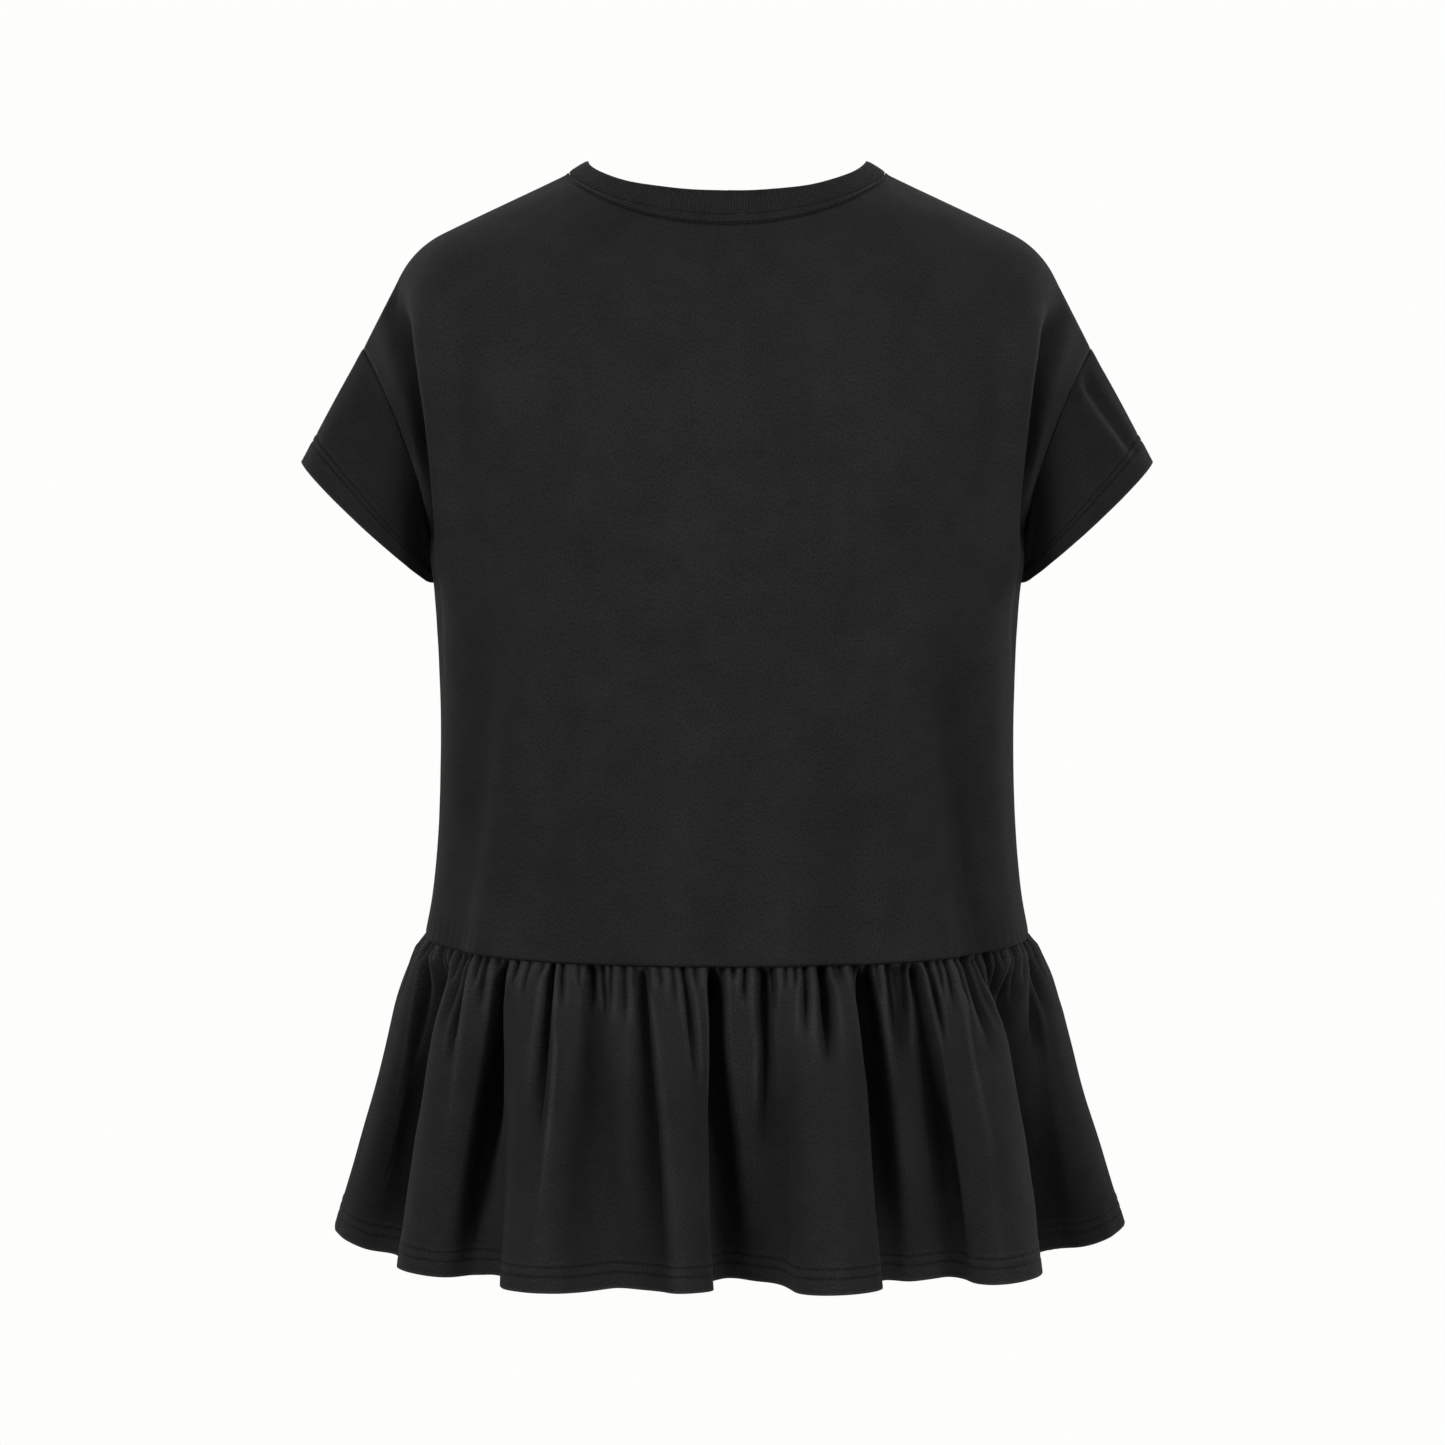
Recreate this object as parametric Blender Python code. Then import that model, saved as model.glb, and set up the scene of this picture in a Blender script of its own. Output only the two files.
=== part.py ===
"""A hollow, worn-form jersey t-shirt with dropped shoulders, short sleeves, a ribbed crew neckband and
a gathered ruffle sewn on at the waist seam. Each cut piece is one closed cloth wall.

The row frame: +X is the wearer's left, +Y the wearer's back, +Z up. The origin is midway between the two
neck points of the shoulder seams, where the wearer's shoulders hold the garment up.
All sizes below are in millimetres and degrees, and the meshes are written in metres.
"""

import math

import bpy
import numpy as np

MM = 0.001

# Cloth
WALL = 1.5
RUFFLE_WALL = 1.4
HEM_WALL = 2.4
SEAM_GAP = 0.3

# Neck: its ellipse, how far the seam drops at the middle, and the slope of the cloth that meets it
NECK_HALF_WIDTH = 100.0
BACK_NECK = {"depth": 58.0, "drop": 23.0, "slope": 45.0, "shoulder_slope": 14.0}
FRONT_NECK = {"depth": 100.0, "drop": 80.0, "slope": 64.0, "shoulder_slope": 32.0}
NECK_POWER = 1.5
NECK_SHARE = 0.40
SEAM_TAPE = {"width": 7.0, "height": 0.8, "bevel": 1.6}

# Neckband: how far its upper edge lies inward of and above the seam, and its section, as shares of its height
# and as distances out of the seam line
BAND_LEAN = {"shoulder": (12.0, 7.5), "back": (6.0, 15.0), "front": (6.5, 14.5)}
BAND_CLEAR = 0.65
BAND_SECTION = (
    {"outer_up": 0.0, "outer": 0.6, "inner_up": 0.03, "inner": -1.5},
    {"outer_up": 0.55, "outer": 0.55, "inner_up": 0.55, "inner": -1.7},
    {"outer_up": 0.86, "outer": 0.35, "inner_up": 0.86, "inner": -1.65},
    {"outer_up": 1.0, "outer": -0.3, "inner_up": 0.985, "inner": -0.9},
)

# Shoulder line, from the neck point to the end of the dropped shoulder, seen from behind
SHOULDER_SLOPE = 0.479
SHOULDER_CORNER = (198.4, -44.8)
SHOULDER_TIP = (231.0, -108.0)
SHOULDER_ROUND = 22.0
SHOULDER_SEAM_Y = -4.0

# Torso sections from the waist seam up: the height, the half width, and the depth behind and before y = 0
SECTIONS = (
    {"name": "waist seam", "z": -482.0, "half_width": 193.5, "back": 122.0, "front": 126.0},
    {"name": "above seam", "z": -462.0, "half_width": 189.8, "back": 120.0, "front": 124.5},
    {"name": "high hip", "z": -430.0, "half_width": 186.0, "back": 117.5, "front": 124.0},
    {"name": "waist", "z": -365.0, "half_width": 183.0, "back": 114.5, "front": 125.0},
    {"name": "ribs", "z": -300.0, "half_width": 184.0, "back": 115.0, "front": 128.5},
    {"name": "below arm", "z": -253.0, "half_width": 187.0, "back": 117.0, "front": 131.0},
    {"name": "underarm", "z": -225.0, "half_width": 189.0, "back": 118.0, "front": 130.0},
)
SECTION_POWER = 2.4
WAIST_Z = SECTIONS[0]["z"]
UNDERARM_Z = SECTIONS[-1]["z"]
SEAM_DIP = 2.0

# Yoke: how far the cloth keeps its way at the underarm and at the shoulder, and the shape of the armhole
YOKE = {"rise": 0.62, "forward": 0.66, "flare": 14.0, "arm_from": 0.70}
ARMHOLE_LEAVES = (1.0, 48.0, 32.0)
ARMHOLE_ARRIVES = (-24.0, 62.0, -34.0)

# Sleeve: the ends of its hem seen from behind, and how it leaves the seam and meets the hem below and on top
SLEEVE_TOP = (270.5, -180.0)
SLEEVE_UNDER = (194.5, -257.0)
SLEEVE_HALF_DEPTH = 45.0
SLEEVE_LENGTH = 80.0
SLEEVE_HEM = 19.0
SLEEVE_LEAVES = {"under": (6.0, -13.0), "top": (15.0, -25.0), "round": 4.0}
SLEEVE_ARRIVES = {"under": (-3.0, 12.0), "top": (-14.0, 24.0), "round": 2.0}
SLEEVE_CLEAR = {"out": 0.5, "down": 0.4}

# Soft folds of the panels: share of the half panel (1 at the wearer's left side seam) and height at the two
# ends of each, half its width as such a share, and how far the cloth stands out, or in where below 0
BACK_FOLDS = (
    dict(fold="left arm valley", u0=0.80, z0=-232, u1=0.84, z1=-78, half=0.055, out=-14),
    dict(fold="right arm valley", u0=-0.80, z0=-232, u1=-0.83, z1=-84, half=0.055, out=-14),
    dict(fold="left arm edge", u0=0.70, z0=-262, u1=0.70, z1=-66, half=0.07, out=6),
    dict(fold="right arm edge", u0=-0.70, z0=-262, u1=-0.70, z1=-70, half=0.07, out=6),
    dict(fold="left cap crease", u0=0.93, z0=-165, u1=0.92, z1=-66, half=0.03, out=2.5),
    dict(fold="right cap crease", u0=-0.92, z0=-150, u1=-0.90, z1=-64, half=0.03, out=3),
    dict(fold="right flank", u0=-0.67, z0=-530, u1=-0.58, z1=-285, half=0.10, out=-4.5),
    dict(fold="left flank", u0=0.76, z0=-530, u1=0.66, z1=-270, half=0.09, out=-3.5),
    dict(fold="low back left", u0=0.31, z0=-530, u1=0.24, z1=-345, half=0.10, out=-2),
    dict(fold="low back right", u0=-0.23, z0=-530, u1=-0.30, z1=-360, half=0.10, out=-2),
)
FRONT_FOLDS = (
    dict(fold="left arm valley", u0=0.80, z0=-232, u1=0.83, z1=-82, half=0.055, out=-13),
    dict(fold="right arm valley", u0=-0.80, z0=-232, u1=-0.84, z1=-78, half=0.055, out=-13),
    dict(fold="left arm edge", u0=0.70, z0=-262, u1=0.70, z1=-68, half=0.07, out=4.5),
    dict(fold="right arm edge", u0=-0.70, z0=-262, u1=-0.70, z1=-64, half=0.07, out=4.5),
    dict(fold="left flank", u0=0.63, z0=-530, u1=0.55, z1=-270, half=0.10, out=-4),
    dict(fold="right flank", u0=-0.71, z0=-530, u1=-0.60, z1=-300, half=0.10, out=-4),
    dict(fold="low front", u0=0.11, z0=-530, u1=0.04, z1=-360, half=0.12, out=-2),
)
FOLD_FADE = 0.22

# Soft creases of the sleeves: where they lie around the arm (0 at the underarm, 0.5 on top, the back between),
# half their width as such a share, how far down the sleeve they end, and how far they stand out
SLEEVE_FOLDS = (
    dict(arm="right", crease="outer valley", turn=0.41, half=0.035, end=0.85, out=-3.5),
    dict(arm="right", crease="outer ridge", turn=0.33, half=0.04, end=0.8, out=2),
    dict(arm="left", crease="outer valley", turn=0.37, half=0.05, end=0.8, out=-2.5),
    dict(arm="left", crease="front valley", turn=0.62, half=0.05, end=0.8, out=-3),
    dict(arm="right", crease="front valley", turn=0.66, half=0.05, end=0.8, out=-2.5),
)

# The ruffle: the depth of its cut strip at the middle, what the sides have more, how fast it swings out below
# the seam, how early its flutes open, and its gathers for each half
RUFFLE_DEPTH = 203.0
RUFFLE_SIDE_EXTRA = 9.0
RUFFLE_HEM = 20.0
RUFFLE_SWING = 0.6
FLUTE_GROWTH = 0.7
GATHERS = {"folds": 44, "fine": 0.9, "mid": 1.4, "fine_end": 0.15, "mid_start": 0.10, "mid_end": 0.30}

# Valleys of the ruffle. top and low say where each lies across the cloth at the seam and at the hem, from 1 at the
# wearer's left side to -1. Then its depth, its half width at both ends, how far down it runs, and the side on
# which its wall is sharp.
VALLEYS_BACK = (
    dict(top=0.755, low=0.880, depth=10, half=0.016, wide=0.034, reach=1.10, steep=-1),
    dict(top=0.690, low=0.720, depth=4, half=0.014, wide=0.022, reach=0.30, steep=0),
    dict(top=0.560, low=0.640, depth=13, half=0.017, wide=0.032, reach=1.25, steep=-1),
    dict(top=0.370, low=0.440, depth=7, half=0.016, wide=0.028, reach=0.75, steep=-1),
    dict(top=0.240, low=0.325, depth=7, half=0.018, wide=0.036, reach=1.10, steep=0),
    dict(top=0.155, low=0.200, depth=10, half=0.016, wide=0.044, reach=0.95, steep=1),
    dict(top=0.030, low=-0.012, depth=14, half=0.018, wide=0.034, reach=1.30, steep=1),
    dict(top=-0.062, low=-0.045, depth=6, half=0.014, wide=0.024, reach=0.65, steep=1),
    dict(top=-0.225, low=-0.150, depth=4, half=0.014, wide=0.030, reach=0.36, steep=0),
    dict(top=-0.345, low=-0.375, depth=14, half=0.017, wide=0.030, reach=1.30, steep=1),
    dict(top=-0.434, low=-0.490, depth=10, half=0.016, wide=0.032, reach=1.20, steep=-1),
    dict(top=-0.585, low=-0.700, depth=4, half=0.014, wide=0.022, reach=0.30, steep=0),
    dict(top=-0.645, low=-0.840, depth=12, half=0.017, wide=0.032, reach=1.15, steep=1),
)
VALLEYS_FRONT = (
    dict(top=0.780, low=0.820, depth=10, half=0.017, wide=0.034, reach=1.15, steep=1),
    dict(top=0.650, low=0.700, depth=5, half=0.014, wide=0.026, reach=0.40, steep=0),
    dict(top=0.540, low=0.570, depth=12, half=0.017, wide=0.032, reach=1.25, steep=-1),
    dict(top=0.420, low=0.440, depth=6, half=0.016, wide=0.032, reach=0.70, steep=0),
    dict(top=0.270, low=0.300, depth=13, half=0.017, wide=0.032, reach=1.20, steep=-1),
    dict(top=0.140, low=0.150, depth=6, half=0.015, wide=0.028, reach=0.55, steep=1),
    dict(top=0.010, low=0.020, depth=13, half=0.018, wide=0.032, reach=1.30, steep=1),
    dict(top=-0.120, low=-0.160, depth=7, half=0.015, wide=0.030, reach=0.80, steep=-1),
    dict(top=-0.250, low=-0.270, depth=11, half=0.017, wide=0.030, reach=1.20, steep=1),
    dict(top=-0.360, low=-0.400, depth=5, half=0.014, wide=0.026, reach=0.45, steep=0),
    dict(top=-0.480, low=-0.510, depth=13, half=0.017, wide=0.032, reach=1.25, steep=1),
    dict(top=-0.620, low=-0.640, depth=6, half=0.015, wide=0.028, reach=0.60, steep=-1),
    dict(top=-0.740, low=-0.790, depth=11, half=0.017, wide=0.032, reach=1.10, steep=-1),
)
SHARP_WALL = 0.7
VALLEY_STARTS = 0.09
VALLEY_FADES = 0.35

# Flutes at the ruffle's hem, seen in plan: where each begins, its crest, where it turns in, the dip after it,
# and how far along the panel (1 at the wearer's left side seam, -1 at the right) that dip starts at the seam
FLUTES_BACK = (
    dict(start=(257, -23), crest=(236, 14), turn=(215, 19), dip=(210, 34), seam=0.834),
    dict(start=(209, 66), crest=(181, 87), turn=(152, 78), dip=(141, 84), seam=0.55),
    dict(start=(142, 122), crest=(113, 147), turn=(85, 133), dip=(69, 124), seam=0.36),
    dict(start=(54, 135), crest=(29, 152), turn=(8, 134), dip=(10, 108), seam=0.034),
    dict(start=(2, 106), crest=(-14, 108), turn=(-29, 113), dip=(-37, 122), seam=-0.13),
    dict(start=(-45, 141), crest=(-71, 152), turn=(-97, 132), dip=(-96, 102), seam=-0.333),
    dict(start=(-104, 101), crest=(-115, 102), turn=(-128, 95), dip=(-141, 88), seam=-0.51),
    dict(start=(-154, 102), crest=(-174, 115), turn=(-199, 82), dip=(-201, 26), seam=-0.89),
    dict(start=(-212, 9), crest=(-228, 8), turn=(-245, 0), dip=(-261, -28), seam=-1.0),
)
FLUTES_FRONT = (
    dict(start=(252, -58), crest=(232, -86), turn=(205, -88), dip=(196, -70), seam=0.77),
    dict(start=(189, -98), crest=(166, -124), turn=(138, -121), dip=(131, -96), seam=0.52),
    dict(start=(119, -118), crest=(97, -147), turn=(67, -146), dip=(62, -116), seam=0.25),
    dict(start=(48, -128), crest=(29, -151), turn=(4, -147), dip=(-3, -121), seam=0.0),
    dict(start=(-16, -134), crest=(-36, -153), turn=(-63, -147), dip=(-67, -117), seam=-0.26),
    dict(start=(-82, -124), crest=(-104, -146), turn=(-132, -132), dip=(-134, -106), seam=-0.5),
    dict(start=(-150, -108), crest=(-171, -124), turn=(-198, -106), dip=(-195, -78), seam=-0.76),
    dict(start=(-214, -72), crest=(-234, -82), turn=(-254, -62), dip=(-261, -28), seam=-1.0),
)

# Mesh: columns as shares of the half panel, rows as shares of a piece's length, and counts
TORSO_ROWS = 8
TORSO_COLUMNS = (0, 0.12, 0.24, 0.35, 0.45, 0.54, 0.62, 0.69, 0.76, 0.84, 0.92, 1)
NECK_COLUMNS = 8
ARM_COLUMNS = (0.47, 0.54, 0.61, 0.67, 0.71, 0.75, 0.79, 0.83, 0.87, 0.91, 0.955, 1)
YOKE_SHARES = (0, 0.14, 0.28, 0.41, 0.53, 0.64, 0.74, 0.83, 0.905, 0.955, 0.965, 1)
SLEEVE_COLUMNS = 28
SLEEVE_SHARES = (0, 0.18, 0.36, 0.54, 0.71)
RUFFLE_COLUMNS = 116
RUFFLE_SHARES = (0, 0.04, 0.09, 0.15, 0.25, 0.38, 0.54, 0.71, 0.86)
HEM_STEPS = 1600
IRONING_STEPS = 189
CURVE_STEPS = 12
CURVE_SOFTENING = 20


def smooth_step(low, high, value):
    """0 below low, 1 above high, and a smooth rise between."""
    share = np.clip((value - low) / (high - low), 0, 1)
    return share * share * (3 - 2 * share)


def bell(distance):
    """1 at 0, falling smoothly to 0 at a distance of 2."""
    return np.cos(np.clip(np.abs(distance) / 2, 0, 1) * math.pi / 2) ** 2


def bezier(a, b, c, d, t):
    return a * (1 - t) ** 3 + b * 3 * t * (1 - t) ** 2 + c * 3 * t**2 * (1 - t) + d * t**3


def section_size(key, z):
    """A smooth curve through one column of the sections table."""
    zs = np.array([row["z"] for row in SECTIONS])
    sizes = np.array([row[key] for row in SECTIONS])
    slopes = np.gradient(sizes, zs)
    i = int(np.clip(np.searchsorted(zs, z) - 1, 0, len(zs) - 2))
    step = zs[i + 1] - zs[i]
    t = (z - zs[i]) / step
    ends = sizes[i] * (2 * t**3 - 3 * t**2 + 1) + sizes[i + 1] * (3 * t**2 - 2 * t**3)
    return ends + slopes[i] * step * (t**3 - 2 * t**2 + t) + slopes[i + 1] * step * (t**3 - t**2)


def lengths_along(line):
    steps = np.linalg.norm(np.diff(line, axis=0), axis=1)
    return np.concatenate([[0], np.cumsum(steps)])


def by_length(line, shares):
    """Points of a line at the given shares of its length."""
    along = lengths_along(line)
    return np.stack([np.interp(np.asarray(shares) * along[-1], along, axis) for axis in line.T], -1)


def ring_row(z, side, u):
    """Points of the torso at one height: u runs from 0 at the middle to 1 at the side seam."""
    half_width = section_size("half_width", z)
    depth = section_size("back" if side > 0 else "front", z)
    turn = np.linspace(0, math.pi / 2, 240)
    across, back = (np.abs(wave(turn)) ** (2 / SECTION_POWER) for wave in (np.sin, np.cos))
    flat = by_length(np.stack([half_width * across, depth * back], -1), np.abs(u))
    return np.stack([np.sign(u) * flat[:, 0], side * flat[:, 1], np.full(len(u), float(z))], -1)


def shoulder_line():
    """The shoulder seam from the neck point to the shoulder tip: two straight runs with a rounded corner."""
    corner, tip = np.array(SHOULDER_CORNER), np.array(SHOULDER_TIP)
    neck = np.array([NECK_HALF_WIDTH, corner[1] + SHOULDER_SLOPE * (corner[0] - NECK_HALF_WIDTH)])
    before = corner + (neck - corner) / np.linalg.norm(neck - corner) * SHOULDER_ROUND
    after = corner + (tip - corner) / np.linalg.norm(tip - corner) * SHOULDER_ROUND
    t = np.linspace(0, 1, 24)[:, None]
    bend = before * (1 - t) ** 2 + corner * 2 * t * (1 - t) + after * t**2
    return np.vstack([neck, bend, tip])


def neck_point(side, turn):
    """A point of the neck seam: turn is 0 at the middle of the back or front and a quarter at the shoulder."""
    neck = BACK_NECK if side > 0 else FRONT_NECK
    return np.stack([
        NECK_HALF_WIDTH * np.sin(turn),
        side * neck["depth"] * np.cos(turn) + SHOULDER_SEAM_Y * np.sin(turn) ** 4,
        shoulder_line()[0, 1] * np.sin(turn) ** 2 - neck["drop"] * np.abs(np.cos(turn)) ** NECK_POWER,
    ], -1)


def top_row(side, u):
    """The panel's upper edge: the neckline, then the shoulder seam to its tip."""
    mag = np.abs(u)
    points = neck_point(side, np.clip(mag / NECK_SHARE, 0, 1) * math.pi / 2)
    outer = mag > NECK_SHARE
    xz = by_length(shoulder_line(), (mag[outer] - NECK_SHARE) / (1 - NECK_SHARE))
    points[outer] = np.stack([xz[:, 0], np.full(outer.sum(), SHOULDER_SEAM_Y), xz[:, 1]], -1)
    points[:, 0] *= np.sign(u)
    return points


def soft_top(side, u):
    """The upper edge with the corner at the neck point rounded off, for the cloth lower down."""
    reach = 0.16 * (1 - smooth_step(0.7, 1, np.abs(u)))
    shifts = np.linspace(-1, 1, 9)
    weights = np.cos(shifts * math.pi / 2.4) ** 2
    rows = [w * top_row(side, u + s * reach) for s, w in zip(shifts, weights)]
    return np.sum(rows, axis=0) / weights.sum()


def fold_height(side, u, z):
    """How far the panel's folds push the cloth out at each point."""
    out = np.zeros(u.shape)
    for fold in BACK_FOLDS if side > 0 else FRONT_FOLDS:
        low, high = fold["z0"], fold["z1"]
        middle = fold["u0"] + (fold["u1"] - fold["u0"]) * np.clip((z - low) / (high - low), 0, 1)
        fade = FOLD_FADE * (high - low)
        window = smooth_step(low, low + fade, z) * (1 - smooth_step(high - fade, high + fade / 2, z))
        out += fold["out"] * bell((u - middle) / fold["half"]) * window
    return out


def normals_of(grid, side):
    """Unit normals of a grid of points whose rows run upwards and columns along +X, facing out."""
    normal = np.cross(np.gradient(grid, axis=1), np.gradient(grid, axis=0)) * -side
    return normal / np.maximum(np.linalg.norm(normal, axis=-1, keepdims=True), 1e-9)


def panel_surface(side, u, torso_shares, yoke_shares):
    """The back (side 1) or front (side -1) as rows of points from the waist seam up to the shoulders."""
    rows = []
    for v in torso_shares:
        row = ring_row(WAIST_Z + v * (UNDERARM_Z - WAIST_Z), side, u)
        row[:, 2] -= SEAM_DIP * (1 - v) ** 6 * np.cos(u * math.pi / 2)
        rows.append(row)
    neck = BACK_NECK if side > 0 else FRONT_NECK
    start, end, soft = ring_row(UNDERARM_Z, side, u), top_row(side, u), soft_top(side, u)
    mag, way, zero = np.abs(u), np.sign(u), np.zeros(len(u))
    at_neck = np.cos(np.clip(mag / NECK_SHARE, 0, 1) * math.pi / 2) ** NECK_POWER
    inwards = 1 - smooth_step(NECK_SHARE, 0.85, mag)
    slope = np.tan(np.radians(neck["slope"] * at_neck + neck["shoulder_slope"] * (1 - at_neck) * inwards))
    forward = np.abs(start[:, 1] - soft[:, 1])
    rise = soft[:, 2] - start[:, 2] - slope * forward
    flare = way * YOKE["flare"] * np.sin(np.clip((mag - 0.35) / 0.65, 0, 1) * math.pi)
    reach = YOKE["forward"] * forward
    leave = np.stack([flare * 0.5, zero, YOKE["rise"] * rise], -1)
    arrive = np.stack([flare * 1.2, side * reach, -reach * slope], -1)
    arm_leave, arm_arrive = (
        np.stack([way * x, side * y + zero, z + zero], -1) for x, y, z in (ARMHOLE_LEAVES, ARMHOLE_ARRIVES)
    )
    blend = smooth_step(YOKE["arm_from"], 1, mag)[:, None]
    first = start + leave * (1 - blend) + arm_leave * blend
    second = soft + arrive * (1 - blend) + arm_arrive * blend
    for t in yoke_shares:
        rows.append(bezier(start, first, second, soft, t) + (end - soft) * t**8)
    return np.array(rows)


def folded_panel(side, u, torso_shares, yoke_shares):
    """The panel with its folds and the raised tape under the neck seam, and its outward normals."""
    grid = panel_surface(side, u, torso_shares, yoke_shares)
    normal = normals_of(grid, side)
    across = np.broadcast_to(u, grid.shape[:2])
    folds = fold_height(side, across, grid[..., 2]) * (1 - smooth_step(0.9, 1, np.abs(across)))
    folds[-1] = 0
    folds[0] *= 0.6
    to_edge = np.cumsum(np.linalg.norm(np.diff(grid[::-1], axis=0), axis=-1), axis=0)[::-1]
    to_edge = np.vstack([to_edge, np.zeros((1, len(u)))])
    tape = SEAM_TAPE["height"] * smooth_step(NECK_SHARE + 0.03, NECK_SHARE - 0.01, np.abs(across))
    tape *= smooth_step(SEAM_TAPE["width"] + SEAM_TAPE["bevel"], SEAM_TAPE["width"], to_edge)
    grid = grid + normal * (folds + tape)[..., None]
    return grid, normals_of(grid, side)


def armhole_loop():
    """The left armhole's edge as the panels' own points, up the back from the underarm and down the front."""
    edges = []
    for side in (1, -1):
        edge = panel_surface(side, np.array([0.0, 1.0]), (), YOKE_SHARES)[:, 1]
        edge[:, 1] += side * SEAM_GAP / 2
        edges.append(edge)
    loop = np.vstack([edges[0], edges[1][::-1]])
    along = lengths_along(np.vstack([loop, loop[:1]]))
    return loop, along[:-1] / along[-1]


def sleeve_surface(t, turn_shares):
    """One ring of the left sleeve: t is 0 at the armhole and 1 at the hem, and turns start at the underarm."""
    loop, at = armhole_loop()
    turn = turn_shares * 2 * math.pi
    closed, ends = np.vstack([loop, loop[:1]]), np.append(at, 1)
    start = np.stack([np.interp(turn_shares, ends, axis) for axis in closed.T], -1)
    on_top = (1 - np.cos(turn)) / 2
    start[:, 0] += SLEEVE_CLEAR["out"]
    start[:, 2] -= SLEEVE_CLEAR["down"] * on_top
    top, under = np.array(SLEEVE_TOP), np.array(SLEEVE_UNDER)
    hem_xz = under + (top - under) * on_top[:, None]
    hem_y = SLEEVE_HALF_DEPTH * np.sin(turn) + SHOULDER_SEAM_Y * on_top
    hem = np.column_stack([hem_xz[:, 0], hem_y, hem_xz[:, 1]])
    ways = []
    for way in (SLEEVE_LEAVES, SLEEVE_ARRIVES):
        xz = np.outer(1 - on_top, way["under"]) + np.outer(on_top, way["top"])
        ways.append(np.column_stack([xz[:, 0], way["round"] * np.sin(turn), xz[:, 1]]))
    return bezier(start, start + ways[0], hem + ways[1], hem, t)


def sleeve_ring(t, turn_shares, arm):
    """A ring of the sleeve with its creases, and its outward normals."""
    step = 0.004
    middle = sleeve_surface(t, turn_shares)
    across = sleeve_surface(t, (turn_shares + step) % 1) - sleeve_surface(t, (turn_shares - step) % 1)
    down = sleeve_surface(min(t + 0.02, 1), turn_shares) - sleeve_surface(max(t - 0.02, 0), turn_shares)
    normal = np.cross(across, down)
    normal /= np.linalg.norm(normal, axis=1, keepdims=True)
    if np.sum(normal * (middle - middle.mean(axis=0))) < 0:
        normal = -normal
    for fold in SLEEVE_FOLDS:
        if fold["arm"] == arm:
            window = smooth_step(0, 0.15, t) * (1 - smooth_step(fold["end"] - 0.3, fold["end"], t))
            height = fold["out"] * window * bell((turn_shares - fold["turn"]) / fold["half"])
            middle = middle + normal * height[:, None]
    return middle, normal


def hem_plan():
    """The ruffle's hem in plan for each side, from the wearer's left seam to the right, in equal steps.

    Each row holds a point of the fluted hem and, beside it, the same hem with its flutes ironed out.
    """
    keys = ("start", "crest", "turn", "dip")
    back = [row[key] for row in FLUTES_BACK for key in keys]
    front = [row[key] for row in FLUTES_FRONT for key in keys]
    loop = np.array(back + front[-2::-1], float)
    dense, count = [], len(loop)
    for i in range(count):
        a, b, c, d = (loop[(i + k) % count] for k in (-1, 0, 1, 2))
        ka, kb, kc = (np.linalg.norm(q - p) ** 0.5 for p, q in ((a, b), (b, c), (c, d)))
        leave = ((b - a) / ka - (c - a) / (ka + kb) + (c - b) / kb) * kb
        reach = ((c - b) / kb - (d - b) / (kb + kc) + (d - c) / kc) * kb
        dense += [bezier(b, b + leave / 3, c - reach / 3, c, t) for t in np.arange(CURVE_STEPS) / CURVE_STEPS]
    dense = np.array(dense)
    for _ in range(CURVE_SOFTENING):
        dense = dense * 0.5 + (np.roll(dense, 1, axis=0) + np.roll(dense, -1, axis=0)) * 0.25
    closed = np.vstack([dense, dense[:1]])
    even = by_length(closed, np.arange(HEM_STEPS) / HEM_STEPS)
    weights = np.hanning(IRONING_STEPS)
    wrapped = np.vstack([even[-(IRONING_STEPS // 2):], even, even[:IRONING_STEPS // 2]])
    ironed = np.stack([np.convolve(axis, weights / weights.sum(), "valid") for axis in wrapped.T], -1)
    rows = np.hstack([even, ironed])
    right = int(np.argmin(np.linalg.norm(even - loop[len(back) - 1], axis=1)))
    return {1: rows[:right + 1], -1: np.vstack([rows[right:], rows[:1]])[::-1]}


def gather_wave(side, w, t):
    """The fine gathers under the seam, which merge two by two and then run out at uneven depths."""
    phase = GATHERS["folds"] / 2 * math.pi * (w + 0.020 * np.sin(7 * w + side) + 0.010 * np.sin(17 * w))
    uneven = 0.5 + 0.5 * np.sin(23 * w + 2 * side) * np.cos(9 * w)
    fine = GATHERS["fine"] * (1 - smooth_step(0.03, GATHERS["fine_end"], t))
    mid = GATHERS["mid"] * smooth_step(0, GATHERS["mid_start"], t) * (0.6 + 0.6 * uneven)
    mid *= 1 - smooth_step(GATHERS["mid_start"], GATHERS["mid_end"] * (0.55 + 0.75 * uneven), t)
    return (fine * np.cos(2 * phase) + mid * np.cos(phase)) * smooth_step(1, 0.97, np.abs(w))


def valley_shapes(side, w, t):
    """Each valley's share of its depth across one row of the ruffle, and that depth."""
    shapes = []
    for row in VALLEYS_BACK if side > 0 else VALLEYS_FRONT:
        away = (w - row["top"] - (row["low"] - row["top"]) * t) / (row["half"] + (row["wide"] - row["half"]) * t)
        away = away / np.where(away * row["steep"] > 0, SHARP_WALL, 1)
        window = smooth_step(0, VALLEY_STARTS, t) * (1 - smooth_step(VALLEY_FADES * row["reach"], row["reach"], t))
        shapes.append((np.exp(-(away**2) / 2) * window, row["depth"]))
    return shapes


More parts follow.
